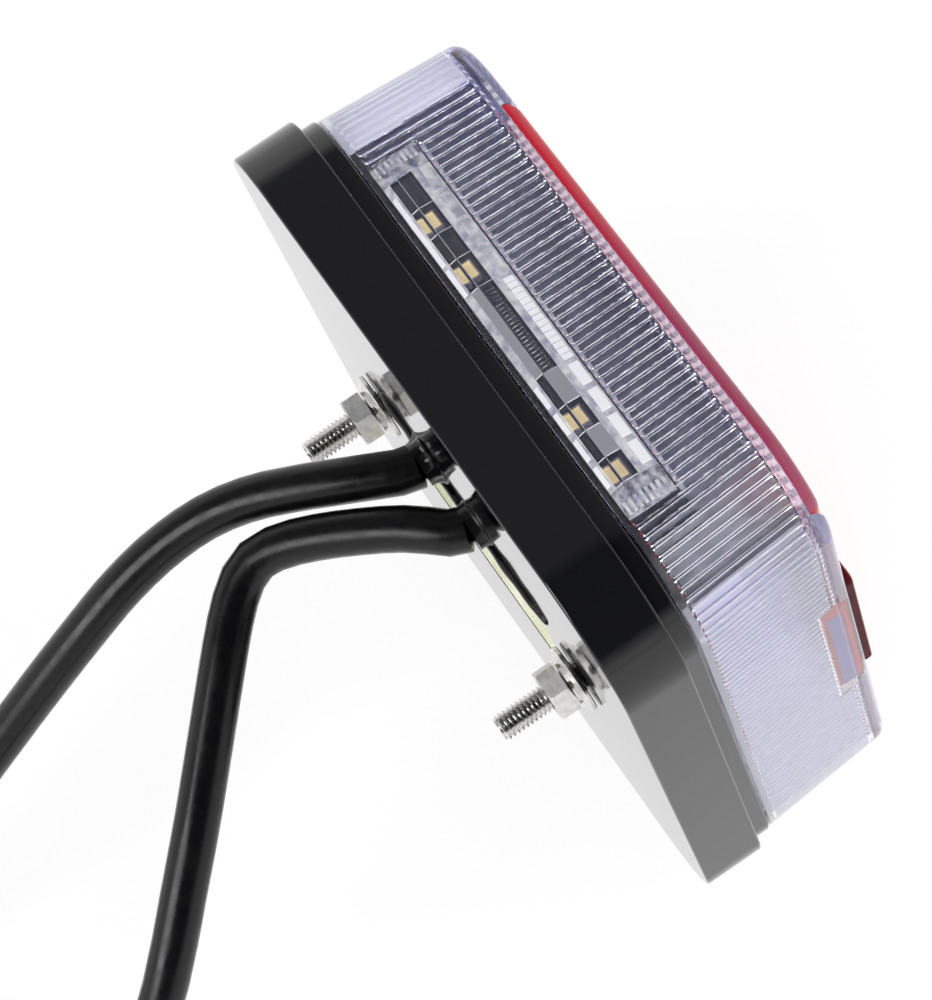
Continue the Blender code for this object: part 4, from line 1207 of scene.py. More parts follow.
# %% Raised patches
def patch(corners, rise, shrink):
    """The loops of a raised patch on four corners."""
    middle = sum(corners, Vector()) / 4
    normal = (corners[1] - corners[0]).cross(corners[3] - corners[0]).normalized()
    normal *= 1 if normal.z > 0 else -1
    low = [corner - normal * 0.25 * MM for corner in corners]
    edge = [corner + normal * 0.3 * rise for corner in corners]
    top = [middle + (corner - middle) * (1 - shrink) + normal * rise for corner in corners]
    return [low, edge, top]


def slope_patch(x0, x1, k, near, far, rise, shrink):
    spots = ((x0, near), (x1, near), (x1, far), (x0, far))
    corners = [roof_point(x, k, share) for x, share in spots]
    return patch(corners, rise, shrink)


def row(start, end, count, gap):
    """Equal places from start to end with a gap between them."""
    pitch = (end - start + gap) / count
    return [(start + i * pitch, start + (i + 1) * pitch - gap) for i in range(count)]


# %% Kinds of patch: slope, start and end on the slope, rise, how far the top shrinks
FRONT_PAD = (FRONT_PADS, 0.05, 0.95, 0.13 * MM, 0.05)
BACK_PAD = (BACK_PADS, 0.10, 0.92, 0.10 * MM, 0.05)
FINE_RIB = (FRONT_SLOPE, 0.10, 0.78, 0.16 * MM, 0.35)
CELL_EDGE = (0.04, 0.96, 0.06 * MM, 0.2)
CELL_EDGE_HALF = 0.06
MIDDLE_LEFT = -10.2 * MM
MIDDLE_RIGHT = 4.9 * MM
FRONT_ROW = row(-27.6, -10.8, 4, 0.85) + row(-10.1, 4.2, 15, 0.13) + row(5.0, 24.6, 4, 0.7)
BACK_ROW = row(-27.7, -10.9, 4, 1.1) + [(5.1, 9.8), (10.4, 22.6)]
RIB_PITCH = 0.63 * MM
RIB_SHARE = 0.6


def window_patches():
    """Pads on both long edges, fine ribs between the pairs of LEDs, and thin lines between the cells."""
    patches = [slope_patch(x0 * MM, x1 * MM, *FRONT_PAD) for x0, x1 in FRONT_ROW]
    patches += [slope_patch(x0 * MM, x1 * MM, *BACK_PAD) for x0, x1 in BACK_ROW]
    for i in range(int((MIDDLE_RIGHT - MIDDLE_LEFT) / RIB_PITCH)):
        x = MIDDLE_LEFT + i * RIB_PITCH
        patches.append(slope_patch(x, x + RIB_SHARE * RIB_PITCH, *FINE_RIB))
    for x in CELL_LINES:
        left, right = (x - CELL_EDGE_HALF) * MM, (x + CELL_EDGE_HALF) * MM
        for k in (BACK_SLOPE, FRONT_SLOPE):
            patches.append(slope_patch(left, right, k, *CELL_EDGE))
    return patches


# %% Ribs on the hips, from and to: run from the window's end, squeeze of the roof there
HIP_RIB_FROM = (0.3, 0.43)
HIP_RIB_TO = (2.2, 0.80)
HIP_RIBS = 8
HIP_RIB_START = 0.40
HIP_RIB_PITCH = 0.8
HIP_RIB_WIDTH = 0.5 * MM


def hip_ribs():
    """Upright ribs on the hips at both ends of the window."""
    ribs = []
    for end, way in ((WINDOW_LEFT, 1), (WINDOW_RIGHT, -1)):
        for i in range(HIP_RIBS):
            first = WINDOW_BACK + (HIP_RIB_START + HIP_RIB_PITCH * i) * MM
            second = first + HIP_RIB_WIDTH
            start, stop = HIP_RIB_FROM, HIP_RIB_TO
            spots = ((first, start), (first, stop), (second, stop), (second, start))
            corners = []
            for depth, (run, squeeze) in spots:
                z = HIP_BASE + (roof_height(depth) - HIP_BASE) * squeeze
                corners.append(at(end + way * run * MM, depth, z))
            ribs.append(patch(corners, 0.22 * MM, 0.2))
    return ribs


# %% [markdown]
# ## Openings for the red plate and the reflector
# The red plate drops into the cover's front and shows along the long sides, and the reflector
# stands through both. Their openings could be drawn apart, but then they would drift from the
# pieces when a size changes. So each opening is the piece's own outline with a little room round
# it.

# %% Outlines of the red plate and the reflector
FRONT_INSET = COVER_INSET + COVER_DRAFT
RED_SIDE = CAVITY_FRONT + 0.55 * MM
RED_LEFT = 1.95 * MM + FRONT_INSET + END_TAPER - HALF_LENGTH
RED_RIGHT = HALF_LENGTH - COVER_INSET - 19.6 * MM


def red_outline(inset, depth):
    """The cover's own outline, cut straight at the clear end and at the near rim."""
    left, right = RED_LEFT + inset, RED_RIGHT - inset
    outline = lamp_outline(FRONT_INSET + inset, depth, END_TAPER)
    return [Vector((min(max(point.x, left), right), point.y, point.z)) for point in outline]


REFLECTOR_CORNER = 1.5 * MM
REFLECTOR_STEPS = 8


def reflector_outline(inset, depth):
    corner = max(REFLECTOR_CORNER - inset, 0.2 * MM)
    left, right = REFLECTOR_LOW[0] + inset, REFLECTOR_HIGH[0] - inset
    bottom, top = REFLECTOR_LOW[2] + inset, REFLECTOR_HIGH[2] - inset
    return rounded(left, right, bottom, top, [corner] * 4, depth, REFLECTOR_STEPS)


print(f"red plate from x {RED_LEFT:.4f} to {RED_RIGHT:.4f}")

# %% Room for both
GAP = 0.08 * MM
LIP = 1.8 * MM


def red_room(name, inset, start):
    return loft(name, [red_outline(inset - GAP, start - GAP), red_outline(inset - GAP, 2 * FRONT)])


def reflector_room(name):
    depths = (REFLECTOR_BACK - CLEARANCE, 2 * FRONT)
    return loft(name, [reflector_outline(-CLEARANCE, depth) for depth in depths])


# %% Cut and join the cover
ROOF_UNDER = [(0.8, 2.2), (1.2, 1.95), (2.15, 1.6), (4.3, 1.9), (5.9, 2.3)]
CAVITY_SIDE = HEIGHT - 6.0 * MM
UNDER_ENDS = (WINDOW_LEFT + 3.0 * MM, WINDOW_RIGHT - 2.6 * MM)

cover = make_shell()
patches = window_patches() + hip_ribs()
boolean(cover, make_roof(), "UNION")
boolean(cover, bodies("patches", patches), "UNION", many=True)
boolean(cover, make_cavity(), "DIFFERENCE")
under = [section(x, ROOF_UNDER, CAVITY_SIDE) for x in UNDER_ENDS]
boolean(cover, loft("window_room", under), "DIFFERENCE")
boolean(cover, red_room("red_room", 0.0, RED_SIDE), "DIFFERENCE")
boolean(cover, red_room("lip_room", LIP, CAVITY_FRONT), "DIFFERENCE")
boolean(cover, reflector_room("cover_reflector_room"), "DIFFERENCE")
dress(cover, "clear", "clear_cover", "lens_cover")
print(len(patches), "pads, ribs and lines on the window")

# %% [markdown]
# ## Milky faces and painted light and shade on the cover
# Clear plastic turns milky where it scatters light: on the bars of both ends, along the thick front
# rim, and on the pads of the window. The white of the pads is a painted reflection, duller on the
# front pads of the far half, and the rim carries painted bands of light and shade from the bars
# behind it. The last bars before the near end get a dark tint as painted shade, because nothing
# bright stands behind them. A painted mask could say where, but it would need an unwrapped mesh.
# So each finish has a test of a face's place and direction, and the last test that picks a face
# wins. Where the reflector stands close behind the near end, the bars stay clear, because there
# the red shows through.

# %% Paint by a test
def paint(piece, look, chosen):
    """Gives the faces that a test picks another finish."""
    piece.data.materials.append(LOOKS[look])
    slot = len(piece.data.materials) - 1
    count = 0
    for face in piece.data.polygons:
        if chosen(face):
            face.material_index = slot
            count += 1
    print(piece.name, "painted", count, "faces", look)


def depth_of(face):
    return BACK_Y - face.center.y


# %% The bars of both ends
NEAR_MILKY = 2.0 * MM
NEAR_DARK = 2.9 * MM
FAR_MILKY = 2.2 * MM


def beside_reflector(face):
    c = face.center
    level = c.x < 0.0 and REFLECTOR_LOW[2] < c.z < REFLECTOR_HIGH[2]
    return level and depth_of(face) > REFLECTOR_BACK - 1.0 * MM


def inner_wall(face, start, end):
    """Faces inside the near or far wall, between two distances from the end of the cavity at that depth."""
    c = face.center
    share = (depth_of(face) - FOOT) / (FRONT - FOOT)
    inner = HALF_LENGTH - WALL_INSET - (COVER_DRAFT + END_TAPER) * share + 0.2 * MM
    inside = inner - end < abs(c.x) < inner - start and face.normal.x * c.x < -0.05 * abs(c.x)
    return inside and depth_of(face) < CAVITY_FRONT - 0.2 * MM and not beside_reflector(face)


def near_bar(face):
    """Bars of the near end, without their round ends."""
    long_part = BAR_START + 0.35 * MM < depth_of(face) < BAR_STOP - 0.35 * MM or depth_of(face) < BAR_START
    return face.center.x < 0.0 and long_part and inner_wall(face, 0.0, NEAR_MILKY)


def near_shade(face):
    """The last bars before the near end, behind which it is dark."""
    return face.center.x < 0.0 and face.center.z > 0.5 * HEIGHT and inner_wall(face, NEAR_MILKY, NEAR_DARK)


def far_bar(face):
    """Bars on the inside of the far end and its corner."""
    c = face.center
    inner = HALF_LENGTH - WALL_INSET + 0.2 * MM
    top = HEIGHT - WALL_INSET + 0.2 * MM
    corner = HALF_LENGTH - BODY_CORNER + 1.2 * MM < c.x < inner and top - BODY_CORNER < c.z < top
    in_corner = corner and face.normal.z < 0.2 and depth_of(face) < CAVITY_FRONT - 0.2 * MM
    return c.x > 0.0 and (inner_wall(face, 0.0, FAR_MILKY) or in_corner)


# %% Bars along the window side, and the front rim
def window_bar(face):
    """Bars behind the window side."""
    low, high = HEIGHT - WALL_INSET - 1.2 * MM, HEIGHT - COVER_INSET - 0.5 * MM
    return face.normal.z < -0.1 and low < face.center.z < high


def bar_start(face):
    """The round ends of the bars beside the window."""
    past = depth_of(face) - WINDOW_BAR_START
    return window_bar(face) and 0.0 < past < 0.6 * MM and WINDOW_LEFT < face.center.x < WINDOW_RIGHT


def front_rim(face):
    return depth_of(face) > BAR_STOP + 0.05 * MM and face.normal.y > -0.9 and not beside_reflector(face)


# The rim beside the red plate gets the painted bands of light and shade.
def under_red(face):
    return front_rim(face) and RED_LEFT + 2.0 * MM < face.center.x < RED_RIGHT - 5.0 * MM


# %% Edges and hips of the window
HIP_LENGTH = HIP[-1][0] * MM


def past_back_edge(face):
    """How many millimetres a face lies in front of the window's back edge."""
    return (depth_of(face) - WINDOW_BACK) / MM


def over_window(face):
    d = past_back_edge(face)
    outside = face.center.z > HEIGHT - 1.95 * MM and face.normal.z > -0.1
    return outside and WINDOW_LEFT < face.center.x < WINDOW_RIGHT and -0.01 < d < ROOF[-1][0] + 0.01


def roof_frame(face):
    """The long edges of the window, beside its two clear slopes."""
    d = past_back_edge(face)
    return over_window(face) and (d < ROOF[BACK_SLOPE][0] or d > ROOF[FRONT_SLOPE + 1][0])


def hip(face):
    between = WINDOW_LEFT + HIP_LENGTH < face.center.x < WINDOW_RIGHT - HIP_LENGTH
    return over_window(face) and not between


def hip_rib(face):
    """Faces of the hips that stand above the plain roof there."""
    c = face.center
    end = min(c.x - WINDOW_LEFT, WINDOW_RIGHT - c.x)
    (run0, squeeze0), (run1, squeeze1) = HIP_RIB_FROM, HIP_RIB_TO
    squeeze = squeeze0 + (squeeze1 - squeeze0) * (end / MM - run0) / (run1 - run0)
    plain = HIP_BASE + (roof_height(depth_of(face)) - HIP_BASE) * squeeze
    return hip(face) and end < 2.3 * MM and c.z > plain + 0.08 * MM


# %% Pads, ridge and hazy cells
def raised(face):
    """Faces that stand a little above the plain roof, apart from the fine ribs and the hips."""
    c = face.center
    d = past_back_edge(face)
    if not over_window(face) or not WINDOW_LEFT + HIP_LENGTH < c.x < WINDOW_RIGHT - 3.0 * MM:
        return False
    fine_rib = ROOF[FRONT_SLOPE][0] < d < ROOF[FRONT_SLOPE + 1][0] and MIDDLE_LEFT < c.x < MIDDLE_RIGHT
    return c.z > roof_height(depth_of(face)) + 0.03 * MM and not fine_rib


def far_pad(face):
    """The pads on the front side of the far half, whose painted reflection is duller than on the near ones.
    """
    front_side = depth_of(face) > WINDOW_BACK + ROOF[FRONT_SLOPE][0] * MM
    return raised(face) and face.center.x > MIDDLE_RIGHT and front_side


def ridge(face):
    on_ridge = ROOF[RIDGE][0] < past_back_edge(face) < ROOF[FRONT_SLOPE][0]
    return over_window(face) and not hip(face) and on_ridge


HAZY_CELLS = {BACK_SLOPE: ((-10.2, 4.9),), FRONT_SLOPE: ((-24.3, -19.9), (-15.4, -10.2))}


def hazy_cell(face):
    """Cells without an LED, whose slope is grained."""
    d = past_back_edge(face)
    for k, cells in HAZY_CELLS.items():
        on_slope = over_window(face) and ROOF[k][0] < d < ROOF[k + 1][0]
        if on_slope and any(left < face.center.x / MM < right for left, right in cells):
            return True
    return False


# %% Paint the cover
paint(cover, "bars", window_bar)
# The ribbed near end carries painted light, paler towards the top.
paint(cover, "ribbed", near_bar)
paint(cover, "shade", near_shade)
paint(cover, "pale", far_bar)
paint(cover, "edge", front_rim)
paint(cover, "rim", under_red)
paint(cover, "frame", roof_frame)
paint(cover, "hip", hip)
paint(cover, "cloudy", lambda face: hazy_cell(face) or bar_start(face) or ridge(face))
# The pads' white is a painted reflection, duller on the far half.
paint(cover, "pad", raised)
paint(cover, "far_pad", far_pad)
paint(cover, "frame", hip_rib)

# %% [markdown]
# ## The red plate
# The front is red acrylic, seated on a lip inside the cover so that only its rim shows along the
# sides. A flat plate with a Bevel would leave a step beside the cover. Lofted with the cover's own
# round, its front edge and the cover's make one line. Seen edge on, the rim is bright red at the
# far end, where clear plastic lets light in behind it, and duller towards the near end, so the rim
# has a finish of its own.

# %% Red plate
PLATE_ROUND = COVER_ROUND * 0.999


def make_red_plate():
    loops = [red_outline(LIP, CAVITY_FRONT), red_outline(LIP, RED_SIDE), red_outline(0.0, RED_SIDE)]
    edge = rounded_edge(0.0, FRONT, PLATE_ROUND, 1)[1:]
    loops += [red_outline(inset, depth) for inset, depth in edge]
    plate = loft("red_plate", loops)
    boolean(plate, reflector_room("plate_reflector_room"), "DIFFERENCE")
    return plate


plate = make_red_plate()
dress(plate, "red", "red_front", "red_front_lens")
# The faces turned up, which show the rim, get its painted light.
paint(plate, "red_rim", lambda face: face.normal.z > 0.15)

# %% [markdown]
# ## The reflector
# A reflector sends light back by the three-sided corners moulded into its back. Those could be
# modelled one by one, but a grid of small pyramids behind its face glints in the same way and takes
# a fraction of the faces. A thin pane on its near side is what shows through the end of the cover.

# %% The pane on the near side
PANE_PROUD = 0.05 * MM
PANE_CORNERS = ((0.6, 1.0), (2.7, 1.0), (2.7, 24.5), (0.6, 24.5))


def add_pane(bm):
    """A thin milky pane on the near side, behind the end of the cover."""
    loops = []
    for x in (REFLECTOR_LOW[0] - PANE_PROUD, REFLECTOR_LOW[0] + PANE_PROUD):
        loops.append([at(x, REFLECTOR_BACK + d * MM, REFLECTOR_LOW[2] + up * MM) for d, up in PANE_CORNERS])
    add_loft(bm, loops)


# %% Prisms behind the face
REFLECTOR_WALL = 1.4 * MM
PRISM_PITCH = 2.4 * MM
PRISM_HEIGHT = 0.9 * MM


def add_prisms(bm, inner_face):
    """A grid of small pyramids that point to the back."""
    left, right = REFLECTOR_LOW[0] + REFLECTOR_WALL, REFLECTOR_HIGH[0] - REFLECTOR_WALL
    low, high = REFLECTOR_LOW[2] + REFLECTOR_WALL, REFLECTOR_HIGH[2] - REFLECTOR_WALL
    columns, rows = int((right - left) / PRISM_PITCH), int((high - low) / PRISM_PITCH)
    half = PRISM_PITCH / 2
    ring = [(-half, -half), (half, -half), (half, half), (-half, half)]
    for i in range(columns):
        for j in range(rows):
            x = (left + right) / 2 + (i - (columns - 1) / 2) * PRISM_PITCH
            z = (low + high) / 2 + (j - (rows - 1) / 2) * PRISM_PITCH
            foot = [bm.verts.new(at(x + dx, inner_face + 0.1 * MM, z + dz)) for dx, dz in ring]
            peak = bm.verts.new(at(x, inner_face - PRISM_HEIGHT, z))
            for k in range(4):
                bm.faces.new((foot[k], foot[(k + 1) % 4], peak))
            bm.faces.new(foot)


# %% Build the reflector
REFLECTOR_THICK = 2.0 * MM
REFLECTOR_ROUND = 0.6 * MM


def make_reflector():
    inner_face = REFLECTOR_FACE - REFLECTOR_THICK
    loops = [reflector_outline(REFLECTOR_WALL, depth) for depth in (inner_face, REFLECTOR_BACK)]
    loops += [reflector_outline(0.0, depth) for depth in (REFLECTOR_BACK, FRONT - 0.1 * MM)]
    edge = rounded_edge(0.0, REFLECTOR_FACE, REFLECTOR_ROUND, 1)
    loops += [reflector_outline(inset, depth) for inset, depth in edge]
    bm = bmesh.new()
    add_loft(bm, loops)
    add_pane(bm)
    add_prisms(bm, inner_face)
    return place("reflector", finish_mesh("reflector", bm))


# %% Paint the reflector
def near_side(face):
    return face.normal.x < -0.9 and face.center.x < REFLECTOR_LOW[0] + PANE_PROUD


def on_pane(face):
    return face.center.x < REFLECTOR_LOW[0] - 0.5 * PANE_PROUD


def proud_edge(face):
    """The side of the part that stands out of the cover."""
    return depth_of(face) > FRONT - 0.05 * MM and face.normal.y > -0.7


reflector = make_reflector()
dress(reflector, "reflector", "reflector", "reflex_reflector")
paint(reflector, "reflector_side", near_side)
paint(reflector, "reflector_pane", on_pane)
paint(reflector, "reflector_edge", proud_edge)

# %% [markdown]
# ## LEDs
# Each LED is a small white package with a shallow cup of phosphor or coloured resin, and a plated
# foot at both ends. One mesh could be shared by all of them, but every LED has to fit the box of
# its own solid. So one function makes each from that box, facing up under the window or forward on
# the main board.

# %% Loops of a package
def led_point(facing, u, v, w):
    """Local across, along and out to the lamp's axes."""
    return Vector((u, v, w)) if facing == "up" else Vector((u, -w, v))


def rect_loop(facing, middle, half_u, half_v, w, corner):
    points = []
    for k, (su, sv) in enumerate(((-1, -1), (1, -1), (1, 1), (-1, 1))):
        for i in range(4):
            a = math.pi + (k + i / 3) * math.pi / 2
            u = su * (half_u - corner) + corner * math.cos(a)
            v = sv * (half_v - corner) + corner * math.sin(a)
            points.append(middle + led_point(facing, u, v, w))
    return points


# %% One LED
LED_FOOT = 0.22 * MM


def make_led(node, facing, fill, slot):
    low, high = (Vector(corner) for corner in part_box(node))
    size = high - low
    out = size.z if facing == "up" else size.y
    half_u = size.x / 2 - LED_FOOT
    half_v = (size.y if facing == "up" else size.z) / 2
    middle = (low + high) / 2 - led_point(facing, 0.0, 0.0, out / 2)
    steps = [(0.0, 0.0), (0.0, out - 0.1 * MM), (0.08 * MM, out), (0.3 * MM, out)]
    steps += [(0.45 * MM, out - 0.3 * MM), (0.75 * MM, out - 0.24 * MM), (1.1 * MM, out - 0.2 * MM)]
    bm = bmesh.new()
    add_loft(bm, [
        rect_loop(facing, middle, half_u - inset, half_v - inset, w, max(0.22 * MM - inset, 0.05 * MM))
        for inset, w in steps
    ])
    for way in (-1, 1):
        foot = middle + led_point(facing, way * half_u, 0.0, 0.0)
        heights = (0.0, 0.4 * out)
        add_loft(bm, [rect_loop(facing, foot, LED_FOOT, 0.6 * half_v, w, 0.05 * MM) for w in heights])
    led = place(f"{node}_package", finish_mesh(f"{node}_package", bm))
    dress(led, "package", slot, node)
    cup = middle + led_point(facing, 0.0, 0.0, out)

    def in_cup(face):
        offset = face.center - cup
        u, v = abs(offset.x), abs(offset.y if facing == "up" else offset.z)
        w = offset.z if facing == "up" else -offset.y
        within = u < half_u - 0.34 * MM and v < half_v - 0.34 * MM
        return within and -0.5 * out < w < -0.12 * MM

    paint(led, fill, in_cup)
    paint(led, "steel", lambda face: abs(face.center.x - middle.x) > half_u + 0.01 * MM)


# %% All LEDs
for i in range(1, 5):
    make_led(f"plate_led_{i}", "up", "phosphor", "white_led")
for i in range(1, 7):
    make_led(f"stop_tail_led_{i}", "forward", "red_resin", "red_led")
for i in range(1, 4):
    make_led(f"indicator_led_{i}", "forward", "amber_resin", "amber_led")

# %% [markdown]
# ## Bare ends of the leads
# Where a lead ends, its sheath is stripped and four coloured cores come out of a short filler, each
# with a few millimetres of bare copper. They could be curves like the leads, but one mesh keeps
# each bundle a single piece. The cores go on along the coil's own circle.

# %% Cores
CORE_RING = 1.35 * MM
CORE_RADIUS = 0.85 * MM
CORE_LENGTH = 18.0 * MM
BARE_LENGTH = 4.0 * MM
CORE_LOOKS = ["core_white", "core_green", "core_yellow", "core_brown"]
FILLER_RADIUS = 2.5 * MM
TUBE_STEPS = 6


def coil_section(radius, angle, height, size, steps=14):
    """A circle square to the coil's path."""
    turns = [2 * math.pi * i / steps for i in range(steps)]
    return [coil_point(radius + size * math.cos(a), angle, height + size * math.sin(a)) for a in turns]


def make_cores(name, lead):
    radius, turn = lead["radius"], lead["turn"]
    first = lead["start"] + turn * (lead["turned"] + CLEARANCE / radius)
    step = turn / radius

    def tube(ring, height, size, start, end):
        runs = [start + (end - start) * i / TUBE_STEPS for i in range(TUBE_STEPS + 1)]
        return [coil_section(ring, first + step * run, height, size) for run in runs]

    bm = bmesh.new()
    add_loft(bm, tube(radius, COIL_BASE, FILLER_RADIUS, 0.0, 1.0 * MM))
    counts = [len(bm.faces)]
    bare_start, bare_end = CORE_LENGTH - 2 * BARE_LENGTH, CORE_LENGTH + 0.5 * MM
    for k in range(4):
        a = 2 * math.pi * (k + 0.5) / 4
        ring, height = radius + CORE_RING * math.cos(a), COIL_BASE + CORE_RING * math.sin(a)
        add_loft(bm, tube(ring, height, CORE_RADIUS, 0.5 * MM, CORE_LENGTH - BARE_LENGTH))
        counts.append(len(bm.faces))
        add_loft(bm, tube(ring, height, 0.6 * CORE_RADIUS, bare_start, bare_end))
        counts.append(len(bm.faces))
    piece = place(f"{name}_core_bundle", finish_mesh(f"{name}_core_bundle", bm))
    dress(piece, "filler", "cores", f"{name}_cores")
    for k, look in enumerate(CORE_LOOKS):
        start, middle, end = counts[2 * k], counts[2 * k + 1], counts[2 * k + 2]
        paint(piece, look, lambda face: start <= face.index < middle)
        paint(piece, "copper", lambda face: middle <= face.index < end)
    return piece


for name, lead in LEADS.items():
    lead["cores"] = make_cores(name, lead)

for number, (name, lead) in enumerate(LEADS.items(), 1):
    print(name, "lead declared,", LEAD_LENGTH, "m")

# %% [markdown]
# ## Floor and surround
# A pale floor, a white surround, a grey ceiling and a dark card where a photographer would stand.
# The near end and the back mirror the white floor, and the side with the window mirrors the
# ceiling, which is why that side looks black and the back looks white. Round steel mirrors the card
# as a dark stripe. A picture of a studio could light the scene too, but a few nodes say plainly
# what stands where.

# %% Rays that show the background
def seen_rays(tree):
    """A value of 1 for rays from the camera, and for those that come by gloss or clear plastic."""
    path = tree.nodes.new("ShaderNodeLightPath")
    first = tree.nodes.new("ShaderNodeMath")
    first.operation = "MAXIMUM"
    second = tree.nodes.new("ShaderNodeMath")
    second.operation = "MAXIMUM"
    tree.links.new(path.outputs["Is Camera Ray"], first.inputs[0])
    tree.links.new(path.outputs["Is Glossy Ray"], first.inputs[1])
    tree.links.new(first.outputs["Value"], second.inputs[0])
    tree.links.new(path.outputs["Is Transmission Ray"], second.inputs[1])
    return second.outputs["Value"]


# %% Floor
FLOOR_HALF = 3.0


def make_floor():
    bm = bmesh.new()
    spots = ((-1, -1), (1, -1), (1, 1), (-1, 1))
    bm.faces.new([bm.verts.new((x * FLOOR_HALF, y * FLOOR_HALF, 0.0)) for x, y in spots])
    look = bpy.data.materials.new("floor")
    look.use_nodes = True
    tree = look.node_tree
    tree.nodes.clear()
    seen = seen_rays(tree)
    paper = tree.nodes.new("ShaderNodeBsdfDiffuse")
    shade = tree.nodes.new("ShaderNodeMix")
    shade.data_type = "RGBA"
    shade.inputs["A"].default_value = (0.85, 0.85, 0.85, 1.0)
    shade.inputs["B"].default_value = (0.22, 0.22, 0.22, 1.0)
    glow = tree.nodes.new("ShaderNodeEmission")
    strength = tree.nodes.new("ShaderNodeMath")
    strength.operation = "MULTIPLY"
    strength.inputs[1].default_value = 0.80
    both = tree.nodes.new("ShaderNodeAddShader")
    out = tree.nodes.new("ShaderNodeOutputMaterial")
    tree.links.new(seen, shade.inputs["Factor"])
    tree.links.new(shade.outputs["Result"], paper.inputs["Color"])
    tree.links.new(seen, strength.inputs[0])
    tree.links.new(strength.outputs["Value"], glow.inputs["Strength"])
    tree.links.new(paper.outputs["BSDF"], both.inputs[0])
    tree.links.new(glow.outputs["Emission"], both.inputs[1])
    tree.links.new(both.outputs["Shader"], out.inputs["Surface"])
    floor = place("floor", finish_mesh("floor", bm), look)


make_floor()
print("floor", 2 * FLOOR_HALF, "m wide")

# %% Surround
DARK_WAY = (-0.55, 0.08, 0.83)


def make_surround():
    """White at the horizon and below it for seen rays, grey overhead, a dark card, soft grey for light."""
    world = bpy.data.worlds.new("surround")
    bpy.context.scene.world = world
    world.use_nodes = True
    tree = world.node_tree
    tree.nodes.clear()
    seen = seen_rays(tree)
    where = tree.nodes.new("ShaderNodeTexCoord")
    split = tree.nodes.new("ShaderNodeSeparateXYZ")
    ramp = tree.nodes.new("ShaderNodeValToRGB")
    ramp.color_ramp.elements[0].position = 0.40
    ramp.color_ramp.elements[0].color = (1.0, 1.0, 1.0, 1.0)
    ramp.color_ramp.elements[1].position = 0.62
    ramp.color_ramp.elements[1].color = (0.21, 0.21, 0.22, 1.0)
    toward = tree.nodes.new("ShaderNodeVectorMath")
    toward.operation = "DOT_PRODUCT"
    toward.inputs[1].default_value = DARK_WAY
    card = tree.nodes.new("ShaderNodeMapRange")
    card.inputs["From Min"].default_value = 0.58
    card.inputs["From Max"].default_value = 0.76
    dark = tree.nodes.new("ShaderNodeMix")
    dark.data_type = "RGBA"
    dark.inputs["B"].default_value = (0.02, 0.02, 0.024, 1.0)
    shade = tree.nodes.new("ShaderNodeMix")
    shade.data_type = "RGBA"
    shade.inputs["A"].default_value = (0.42, 0.42, 0.43, 1.0)
    path = tree.nodes.new("ShaderNodeLightPath")
    clear = tree.nodes.new("ShaderNodeMix")
    clear.data_type = "RGBA"
    clear.inputs["B"].default_value = (0.9, 0.9, 0.93, 1.0)
    back = tree.nodes.new("ShaderNodeBackground")
    out = tree.nodes.new("ShaderNodeOutputWorld")
    tree.links.new(where.outputs["Generated"], split.inputs["Vector"])
    tree.links.new(split.outputs["Z"], ramp.inputs["Fac"])
    tree.links.new(path.outputs["Is Transmission Ray"], clear.inputs["Factor"])
    tree.links.new(where.outputs["Generated"], toward.inputs[0])
    tree.links.new(toward.outputs["Value"], card.inputs["Value"])
    tree.links.new(card.outputs["Result"], dark.inputs["Factor"])
    tree.links.new(ramp.outputs["Color"], dark.inputs["A"])
    tree.links.new(dark.outputs["Result"], clear.inputs["A"])
    tree.links.new(seen, shade.inputs["Factor"])
    tree.links.new(clear.outputs["Result"], shade.inputs["B"])
    tree.links.new(shade.outputs["Result"], back.inputs["Color"])
    tree.links.new(back.outputs["Background"], out.inputs["Surface"])


make_surround()
print("dark card towards", DARK_WAY)

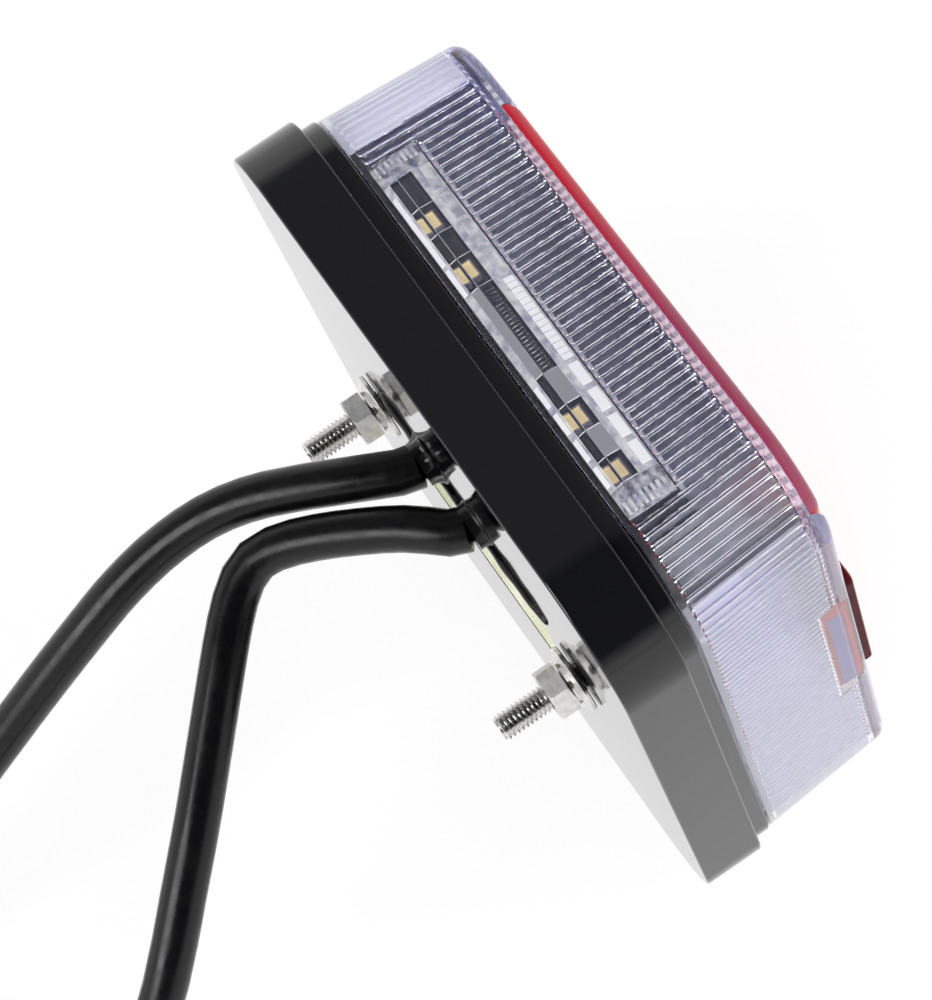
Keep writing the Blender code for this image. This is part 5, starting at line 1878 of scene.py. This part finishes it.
# %% [markdown]
# ## Softboxes
# Three soft square lamps light the side with the window, the front and the back. Sun lamps or the
# surround alone would light the lamp too, but softboxes give the broad soft highlights of a studio.
# Two are hidden from mirror-like rays, so that steel doesn't glare, and the one behind is mirrored
# as a long stripe on the leads.

# %% Softboxes
AIM = Vector((0.0, 0.0, 0.06))
SOFTBOXES = [
    ("camera_softbox", (-0.95, 0.35, 0.75), 0.7, 9.0, False),
    ("front_softbox", (-0.35, -0.90, 0.80), 0.6, 8.0, False),
    ("back_softbox", (-0.10, 0.95, 0.75), 0.6, 7.0, True),
]


def make_softbox(name, spot, size, watts, mirrored):
    data = bpy.data.lights.new(name, "AREA")
    data.shape = "SQUARE"
    data.size = size
    data.energy = watts
    lamp = bpy.data.objects.new(name, data)
    lamp.location = spot
    lamp.rotation_euler = (AIM - Vector(spot)).to_track_quat("-Z", "Y").to_euler()
    lamp.visible_glossy = mirrored
    bpy.context.scene.collection.objects.link(lamp)


for softbox in SOFTBOXES:
    make_softbox(*softbox)
bpy.context.scene.view_settings.view_transform = "Standard"
print(len(SOFTBOXES), "softboxes")

# %% [markdown]
# ## Finishes on the solids that stay
# A solid whose shape is right keeps it, and only takes its finish: the boards and their small
# parts, the dark shade under the window, the rubber ring between cover and base, and the ties round
# the coil. They could be made again, but nobody would see the difference.

# %% Assign finishes
NODE_LOOKS = {
    "lens_seal": "rubber", "main_circuit_board": "white_board", "plate_light_board": "dark_board",
    "light_divider": "divider", "polarity_diode": "chip", "link_inner_lead": "filler",
    "supply_inner_lead": "filler", "coil_tie_1": "nylon", "coil_tie_2": "nylon",
}
for i in (1, 2):
    NODE_LOOKS[f"driver_resistor_{i}"] = "chip"
    NODE_LOOKS[f"plate_resistor_{i}"] = "chip"
for i in range(1, 5):
    NODE_LOOKS[f"board_screw_{i}"] = "steel"
for node, look in NODE_LOOKS.items():
    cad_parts[node].data.materials.clear()
    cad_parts[node].data.materials.append(LOOKS[look])
print(len(NODE_LOOKS), "solids keep their shape")
